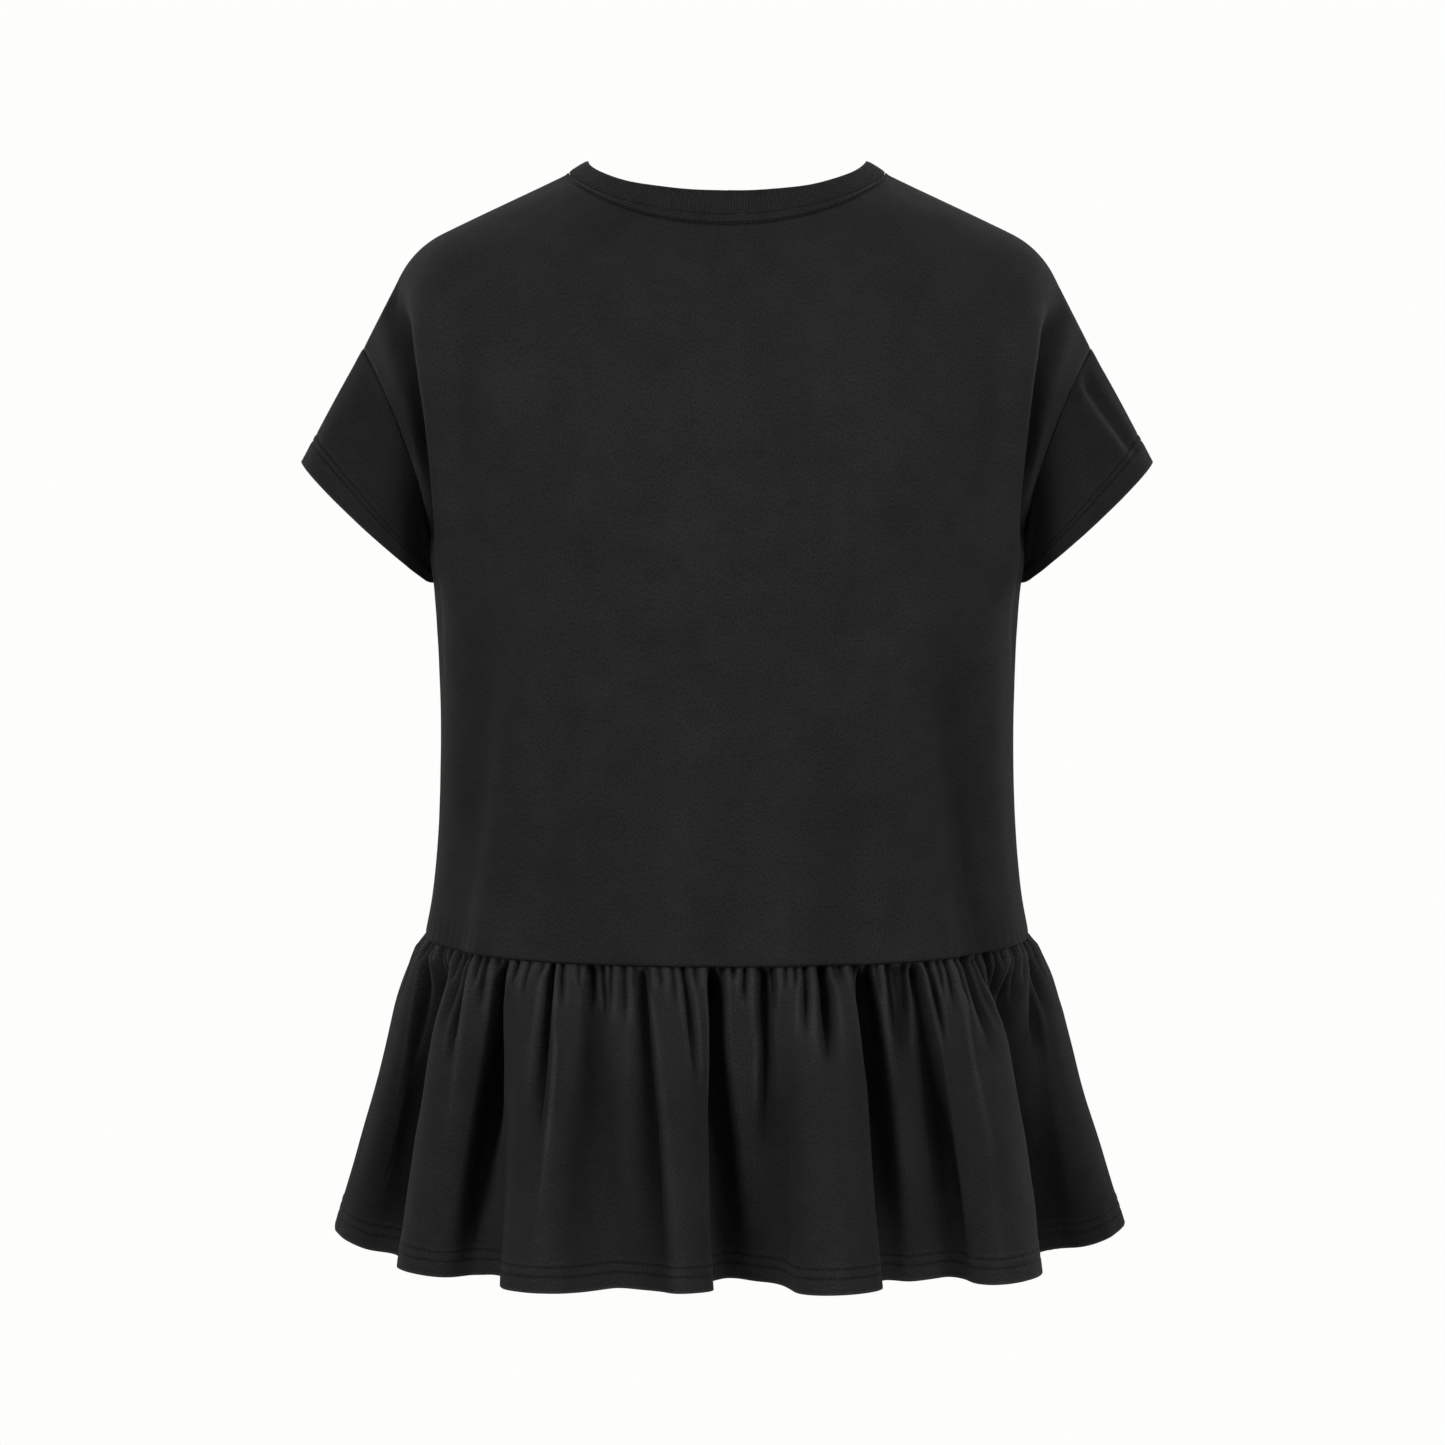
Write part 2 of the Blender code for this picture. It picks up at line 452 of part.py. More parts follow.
def ruffle_surface(side, w, t, hem_lines):
    """Points of the ruffle: w runs from -1 to 1 along the panel and t from 0 at the seam to 1 at the hem."""
    line, flutes = hem_lines[side], FLUTES_BACK if side > 0 else FLUTES_FRONT
    even = np.linspace(1, -1, len(line))
    dips = [even[np.argmin(np.linalg.norm(line[:, :2] - row["dip"], axis=1))] for row in flutes[-2::-1]]
    u = np.interp(w, [-1.0] + dips + [1.0], [-1.0] + [row["seam"] for row in flutes[-2::-1]] + [1.0])
    hem = np.stack([np.interp(-w, -even, axis) for axis in line.T], -1)
    fluted, ironed = hem[:, :2], hem[:, 2:]
    seam = ring_row(WAIST_Z, side, u)
    behind, ahead = (ring_row(WAIST_Z, side, np.clip(u + step, -1, 1)) for step in (-0.004, 0.004))
    along = ahead - behind
    out = np.stack([-along[:, 1], along[:, 0]], -1) * side
    out /= np.linalg.norm(out, axis=1, keepdims=True)
    spread = np.linalg.norm(fluted - seam[:, :2], axis=1)
    drop = np.sqrt((RUFFLE_DEPTH + RUFFLE_SIDE_EXTRA * u**2) ** 2 - spread**2)
    plan = seam[:, :2] + (ironed - seam[:, :2]) * (t + RUFFLE_SWING * t * (1 - t) ** 4)
    relief = gather_wave(side, w, t) - sum(share * depth for share, depth in valley_shapes(side, w, t))
    plan += (fluted - ironed) * t**FLUTE_GROWTH + out * relief[:, None]
    seam_z = seam[:, 2] - SEAM_DIP * np.cos(u * math.pi / 2) - SEAM_GAP
    return np.column_stack([plan, seam_z - drop * t])


def clear_scene():
    for obj in list(bpy.data.objects):
        bpy.data.objects.remove(obj)


def jersey_material():
    material = bpy.data.materials.new("black cotton jersey")
    material.use_nodes = True
    shader = material.node_tree.nodes["Principled BSDF"]
    shader.inputs["Base Color"].default_value = (0.019, 0.019, 0.019, 1)
    shader.inputs["Roughness"].default_value = 0.9
    return material


def bridge(upper, lower, upper_at, lower_at):
    """Triangles between two rows of vertex numbers, which may differ in count."""
    faces, i, j = [], 0, 0
    while i < len(upper) - 1 or j < len(lower) - 1:
        end_i, end_j = i == len(upper) - 1, j == len(lower) - 1
        if end_j or (not end_i and upper_at[i + 1] <= lower_at[j + 1] + 1e-9):
            if not end_j and abs(upper_at[i + 1] - lower_at[j + 1]) < 1e-9:
                faces.append((upper[i], lower[j], lower[j + 1], upper[i + 1]))
                i, j = i + 1, j + 1
                continue
            faces.append((upper[i], lower[j], upper[i + 1]))
            i += 1
        else:
            faces.append((upper[i], lower[j], lower[j + 1]))
            j += 1
    return faces


def add_wall(name, outer, inner, at, material, closed=False):
    """One closed solid from rows of outer and inner points, with rims around its free edges."""
    points, out_rows, in_rows = [], [], []
    for rows, numbers in ((outer, out_rows), (inner, in_rows)):
        for row in rows:
            first = len(points)
            points.extend(row)
            numbers.append(list(range(first, first + len(row))))
    if closed:
        out_rows = [row + row[:1] for row in out_rows]
        in_rows = [row + row[:1] for row in in_rows]
    faces = []
    for k in range(len(out_rows) - 1):
        faces += bridge(out_rows[k], out_rows[k + 1], at[k], at[k + 1])
        faces += [face[::-1] for face in bridge(in_rows[k], in_rows[k + 1], at[k], at[k + 1])]
    for k, flip in ((0, True), (-1, False)):
        for i in range(len(out_rows[k]) - 1):
            quad = (out_rows[k][i], in_rows[k][i], in_rows[k][i + 1], out_rows[k][i + 1])
            faces.append(quad[::-1] if flip else quad)
    if not closed:
        for i, flip in ((0, False), (-1, True)):
            for k in range(len(out_rows) - 1):
                quad = (out_rows[k][i], in_rows[k][i], in_rows[k + 1][i], out_rows[k + 1][i])
                faces.append(quad[::-1] if flip else quad)
    points = np.array(points) * MM
    volume = 0.0
    for face in faces:
        for k in range(1, len(face) - 1):
            volume += np.dot(points[face[0]], np.cross(points[face[k]], points[face[k + 1]]))
    if volume < 0:
        faces = [face[::-1] for face in faces]
    mesh = bpy.data.meshes.new(name)
    mesh.from_pydata([tuple(p) for p in points], [], faces)
    mesh.materials.append(material)
    mesh.update()
    obj = bpy.data.objects.new(name, mesh)
    bpy.context.scene.collection.objects.link(obj)
    return obj


def make_panel(name, side, material):
    """The back or front panel, 0.3 mm from the other one along the side and shoulder seams."""
    torso = np.linspace(0, 1, TORSO_ROWS, endpoint=False)
    outer, inner, at = [], [], []
    yoke_columns = tuple(np.linspace(0, NECK_SHARE, NECK_COLUMNS + 1)) + ARM_COLUMNS
    for shares, first, last in ((TORSO_COLUMNS, 0, TORSO_ROWS), (yoke_columns, TORSO_ROWS, None)):
        u = np.concatenate([-np.array(shares[:0:-1]), shares])
        grid, normal = folded_panel(side, u, torso, YOKE_SHARES)
        normal[:TORSO_ROWS + 1, [0, -1], 1:] = 0
        normal[-1, np.abs(u) >= NECK_SHARE, 1] = 0
        normal /= np.linalg.norm(normal, axis=-1, keepdims=True)
        grid[..., 1] += side * SEAM_GAP / 2
        outer += list(grid[first:last])
        inner += list((grid - normal * WALL)[first:last])
        at += [u] * len(grid[first:last])
    return add_wall(name, outer, inner, at, material)


def make_sleeve(name, arm, material):
    """A set-on short sleeve with a turned hem, hanging just clear of the torso."""
    seam_at = armhole_loop()[1]
    even = np.arange(SLEEVE_COLUMNS) / SLEEVE_COLUMNS
    outer, inner, at = [], [], []
    rows = [(t, WALL) for t in SLEEVE_SHARES] + [(1 - SLEEVE_HEM / SLEEVE_LENGTH, HEM_WALL), (1.0, HEM_WALL)]
    for t, thick in rows:
        shares = seam_at if t == 0 else even
        ring, normal = sleeve_ring(t, shares, arm)
        outer.append(ring)
        inner.append(ring - normal * thick)
        at.append(np.append(shares, 1.0))
    if arm == "right":
        for ring in outer + inner:
            ring[:, 0] *= -1
    return add_wall(name, outer, inner, at, material, closed=True)


def band_edges():
    """The neckband's lower edge on the neck seam and its folded upper edge, from the middle of the back."""
    count = NECK_COLUMNS * 4
    turn = np.arange(count) / count * 2 * math.pi
    side = np.where(np.cos(turn) >= -1e-9, 1, -1)
    seam = np.array([neck_point(s, a if s > 0 else math.pi - a) for s, a in zip(side, turn)])
    middle = (np.cos(turn) ** 2)[:, None]
    lean = np.array([BAND_LEAN["back" if s > 0 else "front"] for s in side]) * middle
    lean += np.array(BAND_LEAN["shoulder"]) * (1 - middle)
    inward = np.column_stack([-np.sin(turn), -np.cos(turn)]) * lean[:, :1]
    return seam, seam + np.column_stack([inward, lean[:, 1]])


def make_band(material):
    """The ribbed neckband: a doubled strip with a rounded upper fold."""
    seam, edge = band_edges()
    length = np.linalg.norm(edge - seam, axis=1, keepdims=True)
    up = (edge - seam) / length
    out = np.cross(up, np.roll(seam, -1, axis=0) - np.roll(seam, 1, axis=0))
    out /= np.linalg.norm(out, axis=1, keepdims=True)
    out *= np.sign(np.sum(out * (seam - seam.mean(axis=0)), axis=1))[:, None]
    foot = seam + up * BAND_CLEAR
    outer = [foot + up * length * row["outer_up"] + out * row["outer"] for row in BAND_SECTION]
    inner = [foot + up * length * row["inner_up"] + out * row["inner"] for row in BAND_SECTION]
    at = [np.arange(len(seam) + 1.0)] * len(outer)
    return add_wall("neckband", outer, inner, at, material, closed=True)


def make_ruffle(name, side, material):
    """One half of the gathered ruffle, 0.3 mm from the other half at the side seams."""
    hem_lines = hem_plan()
    rows = [(t, RUFFLE_WALL) for t in RUFFLE_SHARES]
    rows += [(t, HEM_WALL) for t in (1 - RUFFLE_HEM / RUFFLE_DEPTH, 1.0)]
    w = np.linspace(-1, 1, RUFFLE_COLUMNS + 1)
    step = 0.25 / RUFFLE_COLUMNS
    outer, inner, at = [], [], []
    for t, thick in rows:
        points = ruffle_surface(side, w, t, hem_lines)
        across = ruffle_surface(side, np.clip(w + step, -1, 1), t, hem_lines)
        across -= ruffle_surface(side, np.clip(w - step, -1, 1), t, hem_lines)
        down = ruffle_surface(side, w, min(t + 0.01, 1), hem_lines)
        down -= ruffle_surface(side, w, max(t - 0.01, 0), hem_lines)
        normal = np.cross(across, down) * side
        if t == 0:
            normal[:, 2] = 0
        normal /= np.linalg.norm(normal, axis=1, keepdims=True)
        points[:, 1] += side * SEAM_GAP / 2
        outer.append(points)
        inner.append(points - normal * thick)
        at.append(w)
    return add_wall(name, outer, inner, at, material)


def main():
    clear_scene()
    material = jersey_material()
    make_panel("back", 1, material)
    make_panel("front", -1, material)
    make_sleeve("sleeve_left", "left", material)
    make_sleeve("sleeve_right", "right", material)
    make_band(material)
    make_ruffle("ruffle_back", 1, material)
    make_ruffle("ruffle_front", -1, material)


main()
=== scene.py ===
# %% [markdown]
# # Ruffle-hem t-shirt
#
# A washed black jersey t-shirt, filled out as if worn, seen from behind. It has dropped shoulders, short
# sleeves, a ribbed round neckband and a gathered ruffle sewn on below the waist.
#
# The CAD model is the frame: seven cloth walls, one for each cut piece. Here each wall gets a finer twin on
# exactly the same form, with the small creases, seams, turned hems and stitches that a camera sees.

import math

import bpy
import numpy as np
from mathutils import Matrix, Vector


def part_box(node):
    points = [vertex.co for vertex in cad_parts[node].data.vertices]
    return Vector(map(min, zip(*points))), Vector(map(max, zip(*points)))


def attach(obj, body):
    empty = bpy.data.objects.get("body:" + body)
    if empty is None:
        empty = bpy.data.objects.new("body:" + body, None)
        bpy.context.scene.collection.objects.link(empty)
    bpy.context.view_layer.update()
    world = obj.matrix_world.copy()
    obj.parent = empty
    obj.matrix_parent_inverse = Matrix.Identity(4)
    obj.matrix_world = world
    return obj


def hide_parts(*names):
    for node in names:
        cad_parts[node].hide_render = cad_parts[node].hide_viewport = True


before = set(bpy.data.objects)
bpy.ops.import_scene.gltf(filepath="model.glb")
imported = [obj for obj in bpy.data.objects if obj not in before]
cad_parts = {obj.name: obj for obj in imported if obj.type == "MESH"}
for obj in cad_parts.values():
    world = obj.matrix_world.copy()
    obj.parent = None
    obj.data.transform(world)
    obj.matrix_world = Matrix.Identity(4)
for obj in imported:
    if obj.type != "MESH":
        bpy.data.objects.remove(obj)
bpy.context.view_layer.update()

# %% [markdown]
# ## Sizes
#
# The garment is cut and draped in millimetres, and Blender works in metres, so there is one factor between
# them. Jersey is about a millimetre thick, and twice that where a hem is turned. Two pieces that are sewn
# together touch in the garment, and here they keep a hair's width apart. The sizes of each piece stand
# beside it, further down. They repeat those of the CAD walls, so that every shell lies on its own solid.

# %% Cloth sizes
MM = 0.001


def frame_mm(node):
    """The lowest and highest corners of a CAD node, in millimetres."""
    return [np.array(corner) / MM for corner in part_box(node)]


SHELL = 1.1
HEM_SHELL = 2.2
SEAM_GAP = 0.16
print("the CAD waist seam is at", round(frame_mm("back")[0][2], 1), "mm; the cloth is", SHELL, "mm thick")

# %% [markdown]
# ## Curves and bumps
#
# A few small tools do all the shaping: a smooth step, a bell for folds, a Bezier curve, points along a line
# by its length, and a slow unevenness made of a few waves, so that no surface is ever perfectly flat. They
# could be modifiers, but plain functions on whole grids of points are quicker and easy to try out one by
# one.

# %% Smooth step, bell and curve
def smooth_step(low, high, value):
    """0 below low, 1 above high, and a smooth rise between."""
    share = np.clip((value - low) / (high - low), 0, 1)
    return share * share * (3 - 2 * share)


def bell(distance):
    """1 at 0, falling smoothly to 0 at a distance of 2."""
    return np.cos(np.clip(np.abs(distance) / 2, 0, 1) * math.pi / 2) ** 2


def bezier(a, b, c, d, t):
    return a * (1 - t) ** 3 + b * 3 * t * (1 - t) ** 2 + c * 3 * t**2 * (1 - t) + d * t**3


print("bell at 0, 1, 2:", [round(float(bell(x)), 2) for x in (0, 1, 2)])

# %% Lengths along the cloth
def lengths_along(line):
    steps = np.linalg.norm(np.diff(line, axis=0), axis=1)
    return np.concatenate([[0], np.cumsum(steps)])


def by_length(line, shares):
    """Points of a line at the given shares of its length."""
    along = lengths_along(line)
    return np.stack([np.interp(np.asarray(shares) * along[-1], along, axis) for axis in line.T], -1)


def grid_lengths(grid):
    """How far each point of a grid is from its first column and its first row, along the cloth."""
    zero_column = np.zeros((grid.shape[0], 1))
    zero_row = np.zeros((1, grid.shape[1]))
    across = np.hstack([zero_column, np.cumsum(np.linalg.norm(np.diff(grid, axis=1), axis=-1), axis=1)])
    along = np.vstack([zero_row, np.cumsum(np.linalg.norm(np.diff(grid, axis=0), axis=-1), axis=0)])
    return across, along


def unit(vectors):
    return vectors / np.maximum(np.linalg.norm(vectors, axis=-1, keepdims=True), 1e-9)


print("lengths along a 3-4-5 corner:", lengths_along(np.array([(0, 0), (3, 4), (3, 9)])).tolist())

# %% Unevenness
FULL_SWING = 1.6


def unevenness(across, along, seed, waves=7, span=(60, 190)):
    """A slow, smooth unevenness from -1 to 1 over a piece of cloth, in its own millimetres."""
    rng = np.random.default_rng(seed)
    total = np.zeros(np.broadcast(across, along).shape)
    for _ in range(waves):
        length, way, start = rng.uniform(*span), rng.uniform(0, math.pi), rng.uniform(0, 2 * math.pi)
        total += np.sin((across * math.cos(way) + along * math.sin(way)) * 2 * math.pi / length + start)
    return total / waves * FULL_SWING


print("unevenness at three places:", unevenness(np.array([0, 40, 80]), 0.0, 1).round(2).tolist())

# %% [markdown]
# ## The body's form
#
# Below the underarm the body is a stack of rounded-box sections. Above it, each column of cloth runs as one
# curve from the underarm ring up over the shoulder blade to the neckline or the shoulder seam. Towards the
# arm the curves turn into the lobe of the dropped shoulder, which hangs behind the body's own edge. It could
# be sculpted by hand, but a surface that follows a rule keeps its seams exact at any fineness.

# %% Sections of the body
SECTIONS = (
    {"name": "waist seam", "z": -482.0, "half_width": 193.5, "back": 122.0, "front": 126.0},
    {"name": "above seam", "z": -462.0, "half_width": 189.8, "back": 120.0, "front": 124.5},
    {"name": "high hip", "z": -430.0, "half_width": 186.0, "back": 117.5, "front": 124.0},
    {"name": "waist", "z": -365.0, "half_width": 183.0, "back": 114.5, "front": 125.0},
    {"name": "ribs", "z": -300.0, "half_width": 184.0, "back": 115.0, "front": 128.5},
    {"name": "below arm", "z": -253.0, "half_width": 187.0, "back": 117.0, "front": 131.0},
    {"name": "underarm", "z": -225.0, "half_width": 189.0, "back": 118.0, "front": 130.0},
)
SECTION_POWER = 2.4
WAIST_Z = SECTIONS[0]["z"]
UNDERARM_Z = SECTIONS[-1]["z"]
SEAM_DIP = 2.0


def section_size(key, z):
    """A smooth curve through one column of the sections table."""
    zs = np.array([row["z"] for row in SECTIONS])
    sizes = np.array([row[key] for row in SECTIONS])
    slopes = np.gradient(sizes, zs)
    i = int(np.clip(np.searchsorted(zs, z) - 1, 0, len(zs) - 2))
    step = zs[i + 1] - zs[i]
    t = (z - zs[i]) / step
    ends = sizes[i] * (2 * t**3 - 3 * t**2 + 1) + sizes[i + 1] * (3 * t**2 - 2 * t**3)
    return ends + slopes[i] * step * (t**3 - 2 * t**2 + t) + slopes[i + 1] * step * (t**3 - t**2)


def ring_row(z, side, u):
    """Points of the torso at one height: u runs from 0 at the middle to 1 at the side seam."""
    half_width = section_size("half_width", z)
    depth = section_size("back" if side > 0 else "front", z)
    turn = np.linspace(0, math.pi / 2, 240)
    across, back = (np.abs(wave(turn)) ** (2 / SECTION_POWER) for wave in (np.sin, np.cos))
    flat = by_length(np.stack([half_width * across, depth * back], -1), np.abs(u))
    return np.stack([np.sign(u) * flat[:, 0], side * flat[:, 1], np.full(len(u), float(z))], -1)


half_ring = lengths_along(ring_row(WAIST_Z, 1, np.linspace(0, 1, 200))[:, :2])[-1]
print("the body is about", round(4 * half_ring), "mm round at the", SECTIONS[0]["name"])

# %% Neckline and shoulder seam
NECK_HALF_WIDTH = 100.0
BACK_NECK = {"depth": 58.0, "drop": 23.0, "slope": 45.0, "shoulder_slope": 14.0}
FRONT_NECK = {"depth": 100.0, "drop": 80.0, "slope": 64.0, "shoulder_slope": 32.0}
NECK_POWER = 1.5
NECK_SHARE = 0.40
NECK_CORNER = {"reach": 0.16, "steps": 9, "spread": 2.4}
SHOULDER_SLOPE = 0.479
SHOULDER_CORNER = (198.4, -44.8)
SHOULDER_TIP = (231.0, -108.0)
SHOULDER_ROUND = 22.0
SHOULDER_SEAM_Y = -4.0


def shoulder_line():
    """The shoulder seam from the neck point to the shoulder tip: two straight runs with a rounded corner."""
    corner, tip = np.array(SHOULDER_CORNER), np.array(SHOULDER_TIP)
    neck = np.array([NECK_HALF_WIDTH, corner[1] + SHOULDER_SLOPE * (corner[0] - NECK_HALF_WIDTH)])
    before = corner + (neck - corner) / np.linalg.norm(neck - corner) * SHOULDER_ROUND
    after = corner + (tip - corner) / np.linalg.norm(tip - corner) * SHOULDER_ROUND
    t = np.linspace(0, 1, 24)[:, None]
    bend = before * (1 - t) ** 2 + corner * 2 * t * (1 - t) + after * t**2
    return np.vstack([neck, bend, tip])


def neck_point(side, turn):
    """A point of the neck seam: turn is 0 at the middle of the back or front, a quarter at the shoulder."""
    neck = BACK_NECK if side > 0 else FRONT_NECK
    return np.stack([
        NECK_HALF_WIDTH * np.sin(turn),
        side * neck["depth"] * np.cos(turn) + SHOULDER_SEAM_Y * np.sin(turn) ** 4,
        shoulder_line()[0, 1] * np.sin(turn) ** 2 - neck["drop"] * np.abs(np.cos(turn)) ** NECK_POWER,
    ], -1)


def top_row(side, u):
    """The panel's upper edge: the neckline, then the shoulder seam to its tip."""
    mag = np.abs(u)
    points = neck_point(side, np.clip(mag / NECK_SHARE, 0, 1) * math.pi / 2)
    outer = mag > NECK_SHARE
    xz = by_length(shoulder_line(), (mag[outer] - NECK_SHARE) / (1 - NECK_SHARE))
    points[outer] = np.stack([xz[:, 0], np.full(outer.sum(), SHOULDER_SEAM_Y), xz[:, 1]], -1)
    points[:, 0] *= np.sign(u)
    return points


def soft_top(side, u):
    """The upper edge with the corner at the neck point rounded off, for the cloth lower down."""
    reach = NECK_CORNER["reach"] * (1 - smooth_step(0.7, 1, np.abs(u)))
    shifts = np.linspace(-1, 1, NECK_CORNER["steps"])
    weights = np.cos(shifts * math.pi / NECK_CORNER["spread"]) ** 2
    rows = [w * top_row(side, u + s * reach) for s, w in zip(shifts, weights)]
    return np.sum(rows, axis=0) / weights.sum()


print("the shoulder seam is", round(lengths_along(shoulder_line())[-1]), "mm long")

# %% One panel's surface
YOKE = {"rise": 0.62, "forward": 0.66, "flare": 14.0, "arm_from": 0.70, "flare_from": 0.35}
ARMHOLE_LEAVES = (1.0, 48.0, 32.0)
ARMHOLE_ARRIVES = (-24.0, 62.0, -34.0)


def panel_surface(side, u, torso_shares, yoke_shares):
    """The back (side 1) or front (side -1) as rows of points from the waist seam up to the shoulders."""
    rows = []
    for v in torso_shares:
        row = ring_row(WAIST_Z + v * (UNDERARM_Z - WAIST_Z), side, u)
        row[:, 2] -= SEAM_DIP * (1 - v) ** 6 * np.cos(u * math.pi / 2)
        rows.append(row)
    neck = BACK_NECK if side > 0 else FRONT_NECK
    start, end, soft = ring_row(UNDERARM_Z, side, u), top_row(side, u), soft_top(side, u)
    mag, way, zero = np.abs(u), np.sign(u), np.zeros(len(u))
    at_neck = np.cos(np.clip(mag / NECK_SHARE, 0, 1) * math.pi / 2) ** NECK_POWER
    inwards = 1 - smooth_step(NECK_SHARE, 0.85, mag)
    fall = neck["slope"] * at_neck + neck["shoulder_slope"] * (1 - at_neck) * inwards
    slope = np.tan(np.radians(fall))
    forward = np.abs(start[:, 1] - soft[:, 1])
    rise = soft[:, 2] - start[:, 2] - slope * forward
    outer = np.clip((mag - YOKE["flare_from"]) / 0.65, 0, 1)
    flare = way * YOKE["flare"] * np.sin(outer * math.pi)
    reach = YOKE["forward"] * forward
    leave = np.stack([flare * 0.5, zero, YOKE["rise"] * rise], -1)
    arrive = np.stack([flare * 1.2, side * reach, -reach * slope], -1)
    arm_leave, arm_arrive = (
        np.stack([way * x, side * y + zero, z + zero], -1) for x, y, z in (ARMHOLE_LEAVES, ARMHOLE_ARRIVES)
    )
    blend = smooth_step(YOKE["arm_from"], 1, mag)[:, None]
    first = start + leave * (1 - blend) + arm_leave * blend
    second = soft + arrive * (1 - blend) + arm_arrive * blend
    for t in yoke_shares:
        rows.append(bezier(start, first, second, soft, t) + (end - soft) * t**8)
    return np.array(rows)


spine = panel_surface(1, np.array([0.0, 1.0]), np.linspace(0, 0.95, 20), np.linspace(0, 1, 40))[:, 0]
print("the back is", round(lengths_along(spine)[-1]), "mm long down its middle")

# %% [markdown]
# ## Folds
#
# The large folds are those of the CAD walls: the hollow between each arm and the back, the edge beside it,
# and the soft troughs low on the body. The creases are too small for the solids. A cloth simulation would
# give folds of its own each time, so these are set down in tables. Each row is one fold: its place across
# the panel, from 1 at the wearer's left side seam to -1 at the right one, and its height at both ends, its
# half width, and how far the cloth stands out, or in where it is below 0.

# %% Folds of the back
BACK_FOLDS = (
    dict(fold="left arm valley", u0=0.875, z0=-240, u1=0.86, z1=-78, half=0.050, out=-13),
    dict(fold="right arm valley", u0=-0.875, z0=-240, u1=-0.85, z1=-84, half=0.050, out=-13),
    dict(fold="left arm edge", u0=0.785, z0=-275, u1=0.735, z1=-66, half=0.06, out=7),
    dict(fold="right arm edge", u0=-0.785, z0=-275, u1=-0.735, z1=-70, half=0.06, out=7),
    dict(fold="left cap crease", u0=0.93, z0=-165, u1=0.92, z1=-66, half=0.03, out=2.5),
    dict(fold="right cap crease", u0=-0.92, z0=-150, u1=-0.90, z1=-64, half=0.03, out=3),
    dict(fold="right flank", u0=-0.67, z0=-530, u1=-0.60, z1=-285, half=0.09, out=-6.5),
    dict(fold="left flank", u0=0.76, z0=-530, u1=0.66, z1=-270, half=0.08, out=-5),
    dict(fold="low back left", u0=0.31, z0=-530, u1=0.24, z1=-345, half=0.10, out=-2.4),
    dict(fold="low back right", u0=-0.25, z0=-530, u1=-0.28, z1=-330, half=0.07, out=-3.4),
)
BACK_CREASES = (
    dict(fold="beside right flank", u0=-0.57, z0=-530, u1=-0.52, z1=-300, half=0.035, out=1.9),
    dict(fold="right flank line", u0=-0.70, z0=-520, u1=-0.63, z1=-380, half=0.02, out=-1.2),
    dict(fold="beside left flank", u0=0.68, z0=-530, u1=0.60, z1=-320, half=0.03, out=1.0),
    dict(fold="back middle", u0=0.04, z0=-530, u1=0.02, z1=-360, half=0.045, out=-2.0),
    dict(fold="low left line", u0=0.47, z0=-530, u1=0.42, z1=-300, half=0.040, out=-1.8),
    dict(fold="low right line", u0=-0.40, z0=-530, u1=-0.42, z1=-420, half=0.025, out=-0.8),
    dict(fold="left blade", u0=0.62, z0=-230, u1=0.55, z1=-95, half=0.06, out=1.4),
    dict(fold="right blade", u0=-0.62, z0=-240, u1=-0.57, z1=-100, half=0.06, out=1.2),
    dict(fold="left cap line", u0=0.895, z0=-150, u1=0.90, z1=-70, half=0.014, out=-1.0),
    dict(fold="right cap line", u0=-0.89, z0=-160, u1=-0.88, z1=-72, half=0.014, out=-1.4),
    dict(fold="left underarm", u0=0.90, z0=-330, u1=0.82, z1=-215, half=0.03, out=-1.6),
    dict(fold="right underarm", u0=-0.91, z0=-325, u1=-0.83, z1=-215, half=0.03, out=-1.6),
)
deepest = max(BACK_FOLDS, key=lambda row: abs(row["out"]))
print(len(BACK_FOLDS), "large folds and", len(BACK_CREASES), "creases; the deepest is the", deepest["fold"])

# %% Folds of the front
FRONT_FOLDS = (
    dict(fold="left arm valley", u0=0.80, z0=-232, u1=0.83, z1=-82, half=0.055, out=-13),
    dict(fold="right arm valley", u0=-0.80, z0=-232, u1=-0.84, z1=-78, half=0.055, out=-13),
    dict(fold="left arm edge", u0=0.70, z0=-262, u1=0.70, z1=-68, half=0.07, out=4.5),
    dict(fold="right arm edge", u0=-0.70, z0=-262, u1=-0.70, z1=-64, half=0.07, out=4.5),
    dict(fold="left flank", u0=0.63, z0=-530, u1=0.55, z1=-270, half=0.10, out=-4),
    dict(fold="right flank", u0=-0.71, z0=-530, u1=-0.60, z1=-300, half=0.10, out=-4),
    dict(fold="low front", u0=0.11, z0=-530, u1=0.04, z1=-360, half=0.12, out=-2),
)
FRONT_CREASES = (
    dict(fold="beside left flank", u0=0.57, z0=-530, u1=0.49, z1=-330, half=0.035, out=1.2),
    dict(fold="right flank line", u0=-0.66, z0=-520, u1=-0.58, z1=-390, half=0.02, out=-1.1),
    dict(fold="left chest", u0=0.60, z0=-240, u1=0.52, z1=-110, half=0.06, out=1.2),
    dict(fold="right chest", u0=-0.60, z0=-235, u1=-0.54, z1=-105, half=0.06, out=1.3),
    dict(fold="low left line", u0=0.36, z0=-530, u1=0.30, z1=-410, half=0.03, out=-0.9),
    dict(fold="low right line", u0=-0.28, z0=-530, u1=-0.33, z1=-400, half=0.03, out=-0.8),
    dict(fold="left underarm", u0=0.91, z0=-325, u1=0.82, z1=-215, half=0.03, out=-1.6),
    dict(fold="right underarm", u0=-0.90, z0=-330, u1=-0.83, z1=-215, half=0.03, out=-1.5),
)
print(len(FRONT_FOLDS), "large folds and", len(FRONT_CREASES), "creases, from the", FRONT_FOLDS[0]["fold"])

# %% Fold heights
FOLD_FADE = 0.22


